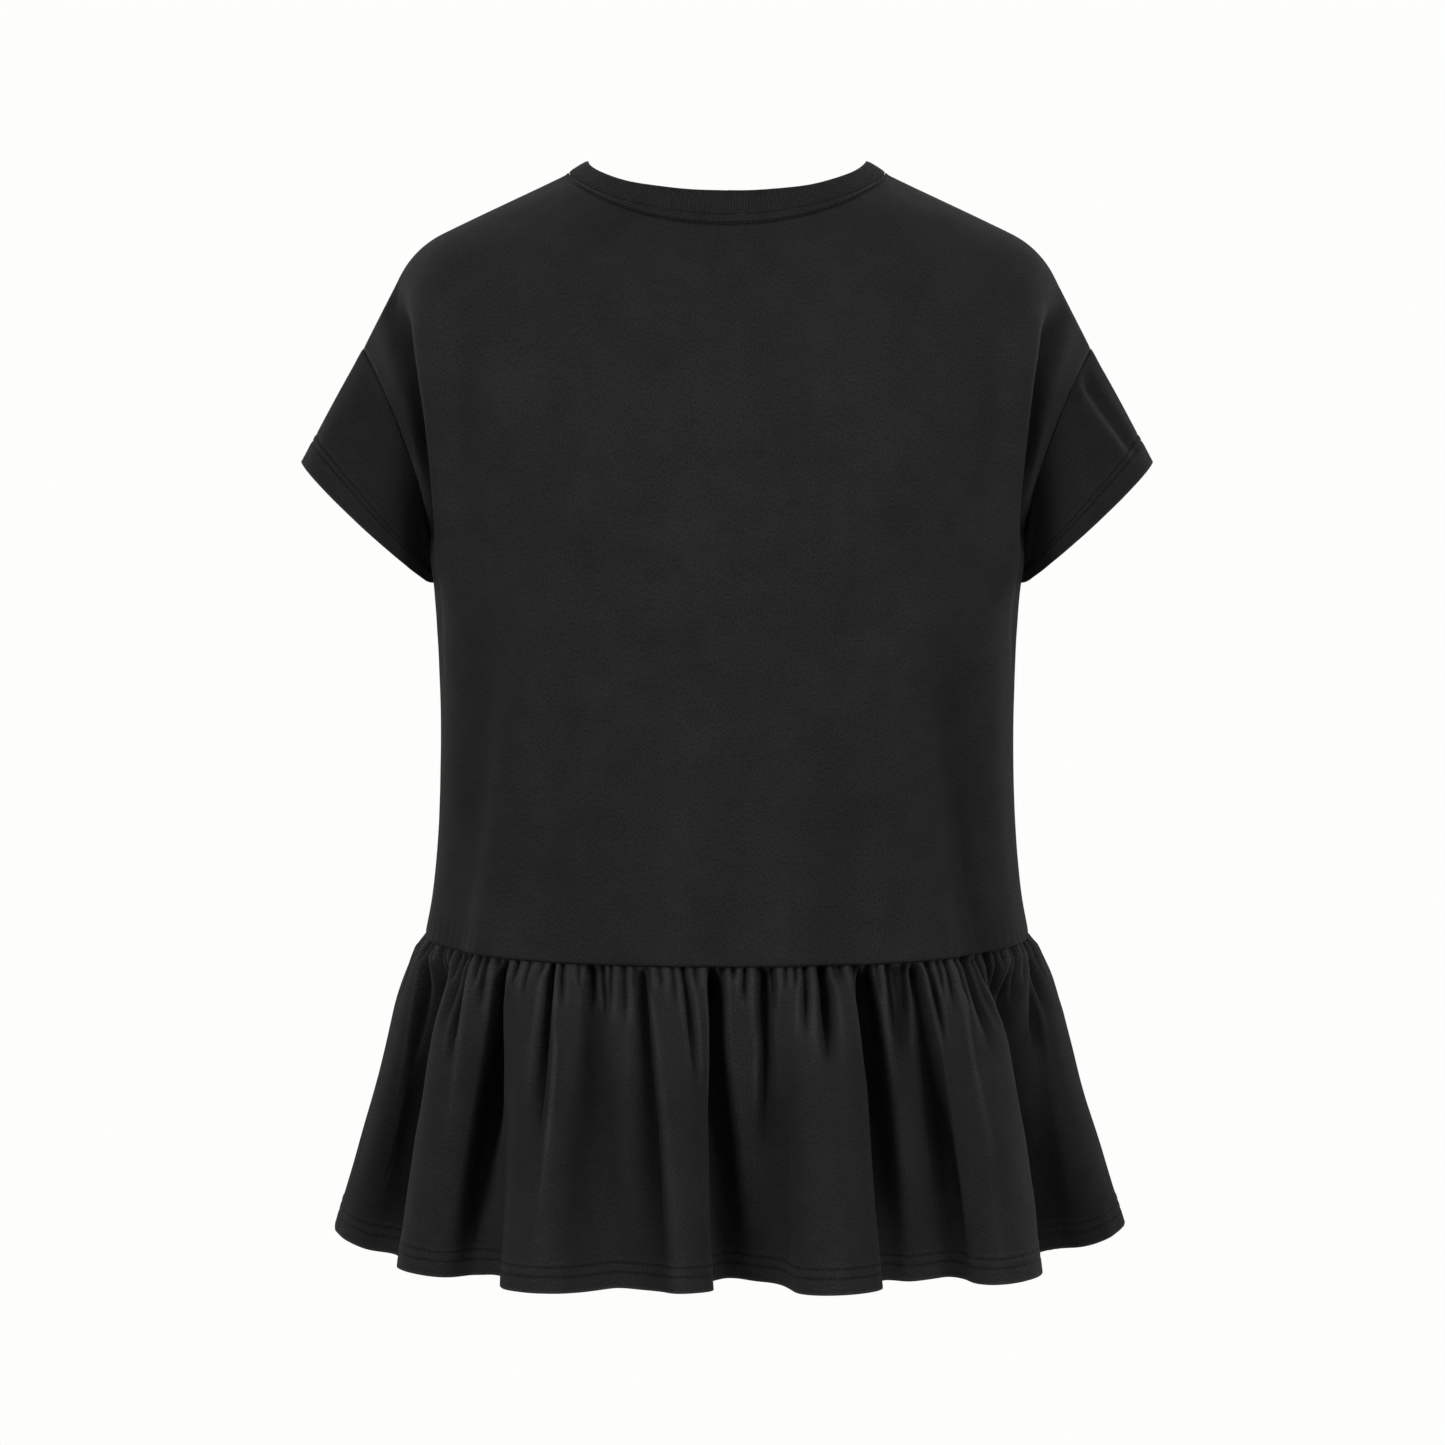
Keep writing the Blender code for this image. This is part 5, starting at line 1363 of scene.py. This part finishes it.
def ruffle_piece(name, side, waist):
    """One half of the ruffle, sewn to its panel's waist edge, and the lines of its two stitch rows."""
    own = own_columns(side, RUFFLE_COLUMNS)
    t = ruffle_shares(ruffle_frame(side, follow(side, own, 1.0)))
    share = follow(side, own[None, :], t)
    frames = [ruffle_frame(side, row) for row in share]
    grid = np.array([ruffle_row(row, columns) for row, columns in zip(t, frames)])
    outward = np.array([np.column_stack([columns["out"], np.zeros(len(own))]) for columns in frames])
    grid, along = join_waist(side, grid, share, waist)
    normal = level_normals(grid_normals(grid, False, outward), along)
    across, along = grid_lengths(grid)
    hem_across = across[-1][None, :]
    to_hem = (1 - t) * frames[-1]["depth"][None, :]
    from_side = (1 - np.abs(share)) * across[-1, -1] / 2
    keep = smooth_step(1, 0.985, np.abs(share))
    drawn = gather_relief(side, np.broadcast_to(own, t.shape), share, t) * keep
    out = drawn + swell(side, hem_across, along, RUFFLE_SWELL) * smooth_step(0.15, 0.5, t) * keep
    out += hem_relief(to_hem, hem_across, HEM_STITCHES["ruffle"][::-1], RUFFLE_HEM)
    out -= RUFFLE_ROLL["seam"] * (1 - smooth_step(0.4, 2.2, along))
    out -= RUFFLE_ROLL["side"] * (1 - smooth_step(0.2, 1.2, from_side))
    grid = grid + normal * out[..., None]
    normal = grid_normals(grid, False, outward)
    normal[0, :, 2] = 0
    normal = unit(normal)
    grid[..., 1] += side * SEAM_GAP / 2
    thick = hem_thickness(to_hem, np.minimum(to_hem, along), RUFFLE_HEM)
    uv = np.stack(np.broadcast_arrays(hem_across, -along), -1)
    # Painted light and shade: valleys and sides darker, the hem edge paler, the stitch grooves darker.
    painted_light_and_wear = PLAIN_LIGHT_AND_WEAR + np.clip(drawn / VALLEY_PAINTED_LIGHT_AND_SHADE["for"], VALLEY_PAINTED_LIGHT_AND_SHADE["low"], VALLEY_PAINTED_LIGHT_AND_SHADE["high"])
    painted_light_and_wear = painted_light_and_wear - RUFFLE_SIDE_PAINTED_SHADE * smooth_step(0.80, 0.97, np.abs(share))
    painted_light_and_wear += HEM_EDGE_HIGHLIGHT * (1 - smooth_step(0.6, 2.4, to_hem)) + hem_tone_and_groove_shade(to_hem, HEM_STITCHES["ruffle"])
    allowances = side_strips(grid, normal, len(grid)) if side > 0 else []
    piece = cloth_piece(f"{name}_cloth", grid, normal, thick, uv, JERSEY, painted_light_and_wear=painted_light_and_wear, allowances=allowances)
    return piece, [line_at(grid, normal, to_hem, row) for row in HEM_STITCHES["ruffle"]]


ruffle_back, ruffle_back_lines = ruffle_piece("ruffle_back", 1, back_waist)
ruffle_front, ruffle_front_lines = ruffle_piece("ruffle_front", -1, front_waist)

# %% [markdown]
# ## Neckband
#
# The neckband is a folded strip of fine rib. It stands up from the neck seam, leans in to follow the neck,
# and its upper edge is the strip's own soft fold, so its section is a narrow loop with a round top. A curve
# with a bevel would keep one section and one lean all round. Here the section's rows are laid up from each
# point of the seam, and lean further in at the shoulders than at the back.

# %% Section of the band
BAND_SECTION = (
    dict(up=0.0, out=-0.35, back=-1.2), dict(up=0.035, out=0.15, back=-1.45),
    dict(up=0.10, out=0.45, back=-1.6), dict(up=0.20, out=0.58, back=-1.7),
    dict(up=0.32, out=0.63, back=-1.72), dict(up=0.45, out=0.64, back=-1.72),
    dict(up=0.58, out=0.62, back=-1.7), dict(up=0.70, out=0.57, back=-1.68),
    dict(up=0.80, out=0.48, back=-1.62), dict(up=0.88, out=0.33, back=-1.5),
    dict(up=0.94, out=0.10, back=-1.3), dict(up=0.98, out=-0.18, back=-1.05),
    dict(up=1.0, out=-0.5, back=-0.72),
)
BAND_LEAN = {"shoulder": (12.0, 7.5), "back": (6.0, 15.0), "front": (6.5, 14.5)}
thickest = max(row["out"] - row["back"] for row in BAND_SECTION)
print("the band is", round(thickest, 2), "mm thick where it is fullest")

# %% Neckband
BAND_COLUMNS = 480
BAND_FOOT = 0.25
BAND_WOBBLE = {"slow": 0.25, "fine": 0.12}


def band_piece():
    """The ribbed band: rows of its section laid up from the neck seam, all round."""
    turn = np.arange(BAND_COLUMNS) / BAND_COLUMNS * 2 * math.pi
    side = np.where(np.cos(turn) >= -1e-9, 1, -1)
    seam = np.array([neck_point(s, a if s > 0 else math.pi - a) for s, a in zip(side, turn)])
    middle = (np.cos(turn) ** 2)[:, None]
    lean = np.array([BAND_LEAN["back" if s > 0 else "front"] for s in side]) * middle
    lean = lean + np.array(BAND_LEAN["shoulder"]) * (1 - middle)
    inward = np.column_stack([-np.sin(turn), -np.cos(turn)]) * lean[:, :1]
    edge = seam + np.column_stack([inward, lean[:, 1]])
    length = np.linalg.norm(edge - seam, axis=1, keepdims=True)
    up = (edge - seam) / length
    out = unit(np.cross(up, np.roll(seam, -1, axis=0) - np.roll(seam, 1, axis=0)))
    out *= np.sign(np.sum(out * (seam - seam.mean(axis=0)), axis=1))[:, None]
    around = lengths_along(np.vstack([seam, seam[:1]]))
    slow, fine = np.sin(around[:-1] / 19), np.sin(around[:-1] / 7.1 + 1)
    wobble = (BAND_WOBBLE["slow"] * slow + BAND_WOBBLE["fine"] * fine)[:, None]
    foot = seam + up * BAND_FOOT
    rows, inner = [], []
    for row in BAND_SECTION:
        lift = length * row["up"] * (1 - BAND_FOOT / length) + wobble * row["up"]
        rows.append(foot + up * lift + out * row["out"])
        inner.append(foot + up * lift + out * row["back"])
    grid, inner = np.array(rows), np.array(inner)
    normal = unit(grid - inner)
    thick = np.linalg.norm(grid - inner, axis=-1)
    heights = np.array([row["up"] for row in BAND_SECTION])[:, None] * length.mean()
    uv = np.stack(np.broadcast_arrays(around[None, :], heights), -1)
    return cloth_piece("neckband_cloth", grid, normal, thick, uv, RIB, closed=True)


neckband = band_piece()

# %% [markdown]
# ## Stitches
#
# A coverstitch machine sews two parallel rows at each hem, and one row runs round the neck. Each stitch
# could be placed by hand, but there are thousands. Geometry Nodes lay them: each row is a line, cut into
# steps of one stitch, with a short thread pressed into the cloth on every step. A little unevenness in
# length and slant keeps the rows from looking printed. The tree ends in Realize Instances and Set Material.

# %% Stitch tree
STITCH_UNEVEN = {"length": (0.86, 1.08), "slant": 0.05}
THREAD_FACETS = {"Segments": 6, "Rings": 5, "Radius": 1.0}


def stitch_tree():
    """Lays one short thread on every step along the lines of a mesh."""
    tree = bpy.data.node_groups.new("stitches", "GeometryNodeTree")
    tree.is_modifier = True
    face = tree.interface
    face.new_socket("Geometry", in_out="INPUT", socket_type="NodeSocketGeometry")
    for name in ("Pitch", "Stitch length", "Thread radius"):
        face.new_socket(name, in_out="INPUT", socket_type="NodeSocketFloat")
    face.new_socket("Seed", in_out="INPUT", socket_type="NodeSocketInt")
    face.new_socket("Geometry", in_out="OUTPUT", socket_type="NodeSocketGeometry")
    new, link = tree.nodes.new, tree.links.new
    given, result = new("NodeGroupInput"), new("NodeGroupOutput")
    curve, steps = new("GeometryNodeMeshToCurve"), new("GeometryNodeResampleCurve")
    steps.mode = "LENGTH"
    points = new("GeometryNodeCurveToPoints")
    points.mode = "EVALUATED"
    link(given.outputs["Geometry"], curve.inputs[0])
    link(curve.outputs[0], steps.inputs["Curve"])
    link(given.outputs["Pitch"], steps.inputs["Length"])
    link(steps.outputs[0], points.inputs["Curve"])
    ball = new("GeometryNodeMeshUVSphere")
    for socket, value in THREAD_FACETS.items():
        ball.inputs[socket].default_value = value
    uneven = new("FunctionNodeRandomValue")
    uneven.data_type = "FLOAT"
    for socket, value in zip(("Min", "Max"), STITCH_UNEVEN["length"]):
        uneven.inputs[socket].default_value = value
    link(given.outputs["Seed"], uneven.inputs["Seed"])
    half = new("ShaderNodeMath")
    half.operation = "MULTIPLY"
    half.inputs[1].default_value = 0.5
    link(given.outputs["Stitch length"], half.inputs[0])
    long = new("ShaderNodeMath")
    long.operation = "MULTIPLY"
    link(half.outputs[0], long.inputs[0])
    link(uneven.outputs["Value"], long.inputs[1])
    size = new("ShaderNodeCombineXYZ")
    link(given.outputs["Thread radius"], size.inputs["X"])
    link(given.outputs["Thread radius"], size.inputs["Y"])
    link(long.outputs[0], size.inputs["Z"])
    slant = new("FunctionNodeRandomValue")
    slant.data_type = "FLOAT_VECTOR"
    tilt = STITCH_UNEVEN["slant"]
    slant.inputs["Min"].default_value = (-tilt, -tilt, 0)
    slant.inputs["Max"].default_value = (tilt, tilt, 0)
    link(given.outputs["Seed"], slant.inputs["Seed"])
    turn = new("FunctionNodeRotateRotation")
    turn.rotation_space = "LOCAL"
    link(points.outputs["Rotation"], turn.inputs["Rotation"])
    link(slant.outputs["Value"], turn.inputs["Rotate By"])
    lay = new("GeometryNodeInstanceOnPoints")
    link(points.outputs["Points"], lay.inputs["Points"])
    link(ball.outputs["Mesh"], lay.inputs["Instance"])
    link(turn.outputs[0], lay.inputs["Rotation"])
    link(size.outputs[0], lay.inputs["Scale"])
    real, smooth = new("GeometryNodeRealizeInstances"), new("GeometryNodeSetShadeSmooth")
    finish = new("GeometryNodeSetMaterial")
    finish.inputs["Material"].default_value = THREAD
    link(lay.outputs[0], real.inputs[0])
    link(real.outputs[0], smooth.inputs["Geometry"])
    link(smooth.outputs[0], finish.inputs["Geometry"])
    link(finish.outputs[0], result.inputs[0])
    return tree


STITCHES = stitch_tree()
print("the stitch tree has", len(STITCHES.nodes), "nodes")

# %% [markdown]
# ## Sewing
#
# Each row's line becomes a mesh of edges with the tree on it. Its sizes go in by the sockets' identifiers,
# and the evaluated result is kept as a plain mesh, because only a plain mesh is exported whole. The neck's
# thread is thicker, as it is in the garment.

# %% Sew
STITCH_PITCH = 3.6
STITCH_LENGTH = 3.0
THREAD_RADIUS = 0.22
NECK_THREAD_RADIUS = 0.42


def sew(name, lines, seed, radius=THREAD_RADIUS):
    """Sews one piece's rows of stitches and leaves them as a plain mesh."""
    points, edges = [], []
    for line in lines:
        first = len(points)
        points += (line * MM).tolist()
        edges += [(i, i + 1) for i in range(first, len(points) - 1)]
    mesh = bpy.data.meshes.new(f"{name}_line")
    mesh.from_pydata(points, edges, [])
    guide = add_object(f"{name}_line", mesh)
    modifier = guide.modifiers.new("stitches", "NODES")
    modifier.node_group = STITCHES
    values = {"Pitch": STITCH_PITCH * MM, "Stitch length": STITCH_LENGTH * MM,
              "Thread radius": radius * MM, "Seed": seed}
    for item in STITCHES.interface.items_tree:
        if item.in_out == "INPUT" and item.name in values:
            modifier[item.identifier] = values[item.name]
    ready = guide.evaluated_get(bpy.context.evaluated_depsgraph_get())
    sewn = bpy.data.meshes.new_from_object(ready)
    sewn.name = name
    bpy.data.objects.remove(guide)
    print(name, "has", len(sewn.polygons), "faces")
    return add_object(name, sewn)


back_stitches = sew("back_neck_stitches", back_lines, 3, NECK_THREAD_RADIUS)
front_stitches = sew("front_neck_stitches", front_lines, 4, NECK_THREAD_RADIUS)
sleeve_left_stitches = sew("sleeve_left_stitches", sleeve_left_lines, 5)
sleeve_right_stitches = sew("sleeve_right_stitches", sleeve_right_lines, 6)
ruffle_back_stitches = sew("ruffle_back_stitches", ruffle_back_lines, 7)
ruffle_front_stitches = sew("ruffle_front_stitches", ruffle_front_lines, 8)

# %% [markdown]
# ## Hand over to the frame
#
# Every shell replaces its own wall, and the table lists what it was cut from. The widths and lengths are
# those of the cloth that shows, without seam allowances: the ruffle's strips are cut about 1.7 times as wide
# as the seam that they are gathered to. The stitches belong to their piece of cloth and move with it.

# %% Riding and cuts
CUTS = (
    dict(piece=back, node="back", slot="jersey", flat=(0.58, 0.55), area=0.241, held="hung",
         sewn=[back_stitches]),
    dict(piece=front, node="front", slot="jersey", flat=(0.58, 0.52), area=0.234, held="hung",
         sewn=[front_stitches]),
    dict(piece=sleeve_left, node="sleeve_left", slot="jersey", flat=(0.36, 0.09), area=0.0176, held="hung",
         sewn=[sleeve_left_stitches]),
    dict(piece=sleeve_right, node="sleeve_right", slot="jersey", flat=(0.36, 0.09), area=0.0176, held="hung",
         sewn=[sleeve_right_stitches]),
    dict(piece=neckband, node="neckband", slot="rib", flat=(0.57, 0.016), area=None, held="stretched",
         sewn=[]),
    dict(piece=ruffle_back, node="ruffle_back", slot="jersey", flat=(0.88, 0.206), area=None, held="gathered",
         sewn=[ruffle_back_stitches]),
    dict(piece=ruffle_front, node="ruffle_front", slot="jersey", flat=(0.88, 0.206), area=None,
         held="gathered", sewn=[ruffle_front_stitches]),
)
for cut in CUTS:
    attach(cut["piece"], "root")
    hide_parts(cut["node"])
    for piece in cut["sewn"]:
        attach(piece, "root")
print(len(CUTS), "sheets of cloth are declared")

# %% [markdown]
# ## Studio
#
# The photograph was taken in a white studio with large soft lights beside and above the camera. Black cloth
# needs them: its form shows only as the light rolls off each fold. The floor is plain and pale, well below
# the garment, and the light that fills the room leaves no hard shadow. Floor and room are plain white to the
# camera alone, so that they don't wash out the black from below.

# %% Floor and room
PALE = (0.985, 0.985, 0.97, 1)
FLOOR_Z = -1.5
FLOOR_RADIUS = 60
FLOOR_GREY = (0.6, 0.6, 0.59, 1)
ROOM_LIGHT = 0.035


def white_to_camera(tree, shader, strength, output):
    """Shows plain white to the camera, while other rays get the shader that is given."""
    rays, white, mix = (tree.nodes.new(kind) for kind in
                        ("ShaderNodeLightPath", "ShaderNodeEmission", "ShaderNodeMixShader"))
    white.inputs["Color"].default_value = PALE
    white.inputs["Strength"].default_value = strength
    tree.links.new(rays.outputs["Is Camera Ray"], mix.inputs["Fac"])
    tree.links.new(shader, mix.inputs[1])
    tree.links.new(white.outputs[0], mix.inputs[2])
    tree.links.new(mix.outputs[0], output.inputs["Surface"])


bpy.ops.mesh.primitive_circle_add(vertices=96, radius=FLOOR_RADIUS, fill_type="NGON",
                                  location=(0, 0, FLOOR_Z))
floor = bpy.context.object
floor.name = "studio_floor"
paint, paint_tree, paint_shader = new_material("pale floor", {"Base Color": FLOOR_GREY, "Roughness": 0.9})
white_to_camera(paint_tree, paint_shader.outputs[0], 1.0, paint_tree.nodes["Material Output"])
floor.data.materials.append(paint)

world = bpy.data.worlds.new("studio")
bpy.context.scene.world = world
world.use_nodes = True
room = world.node_tree.nodes["Background"]
room.inputs["Color"].default_value = (1, 1, 1, 1)
room.inputs["Strength"].default_value = ROOM_LIGHT
white_to_camera(world.node_tree, room.outputs[0], 1.0, world.node_tree.nodes["World Output"])
print("floor at", FLOOR_Z, "m")

# %% [markdown]
# ## Lights
#
# Three soft boxes stand on the camera's side, one to the left, one to the right and one above, and three
# more behind the garment, so that the cloth shows its form from every side. The view transform is Standard:
# a filmic one would lift the black and grey the white.

# %% Soft boxes
LIGHT_TARGET = (0, 0, -0.35)
LIGHTS = (
    dict(name="left_box", place=(2.25, 1.95, 0.7), size=(1.3, 1.8), power=44),
    dict(name="right_box", place=(-2.25, 1.95, 0.7), size=(1.3, 1.8), power=44),
    dict(name="top_box", place=(0.0, 2.2, 2.0), size=(1.4, 0.9), power=22),
    dict(name="far_left", place=(2.25, -1.95, 0.7), size=(1.3, 1.8), power=44),
    dict(name="far_right", place=(-2.25, -1.95, 0.7), size=(1.3, 1.8), power=44),
    dict(name="far_top", place=(0.0, -2.2, 2.0), size=(1.4, 0.9), power=22),
)


def soft_light(name, place, target, size, power):
    """A rectangular light that points at its target and isn't seen itself."""
    data = bpy.data.lights.new(name, "AREA")
    data.shape = "RECTANGLE"
    data.size, data.size_y = size
    data.energy = power
    light = add_object(name, data)
    light.location = place
    light.rotation_euler = (Vector(target) - Vector(place)).to_track_quat("-Z", "Y").to_euler()
    light.visible_camera = False
    return light


for light in LIGHTS:
    soft_light(light["name"], light["place"], LIGHT_TARGET, light["size"], light["power"])
bpy.context.scene.view_settings.view_transform = "Standard"
print("lights:", ", ".join(light["name"] for light in LIGHTS))

# %% [markdown]
# ## Camera
#
# Level with the shoulders, about 3 m behind the garment, with a long lens. The lower parts are seen a little
# from above, as in the photograph. The point that it looks at is between the underarms and the waist.

# %% Camera
CAMERA_TARGET = Vector((0.0029, 0.0, -0.347))
CAMERA_DISTANCE = 3.0
CAMERA_ELEVATION = math.radians(7)
CAMERA_LENS = 116.8
CAMERA_SENSOR = 36
camera_data = bpy.data.cameras.new("camera")
camera_data.lens = CAMERA_LENS
camera_data.sensor_width = CAMERA_SENSOR
camera = add_object("camera", camera_data)
way = Vector((0, math.cos(CAMERA_ELEVATION), math.sin(CAMERA_ELEVATION)))
camera.location = CAMERA_TARGET + CAMERA_DISTANCE * way
camera.rotation_euler = (-way).to_track_quat("-Z", "Y").to_euler()
bpy.context.scene.camera = camera
print("camera at", [round(x, 4) for x in camera.location])
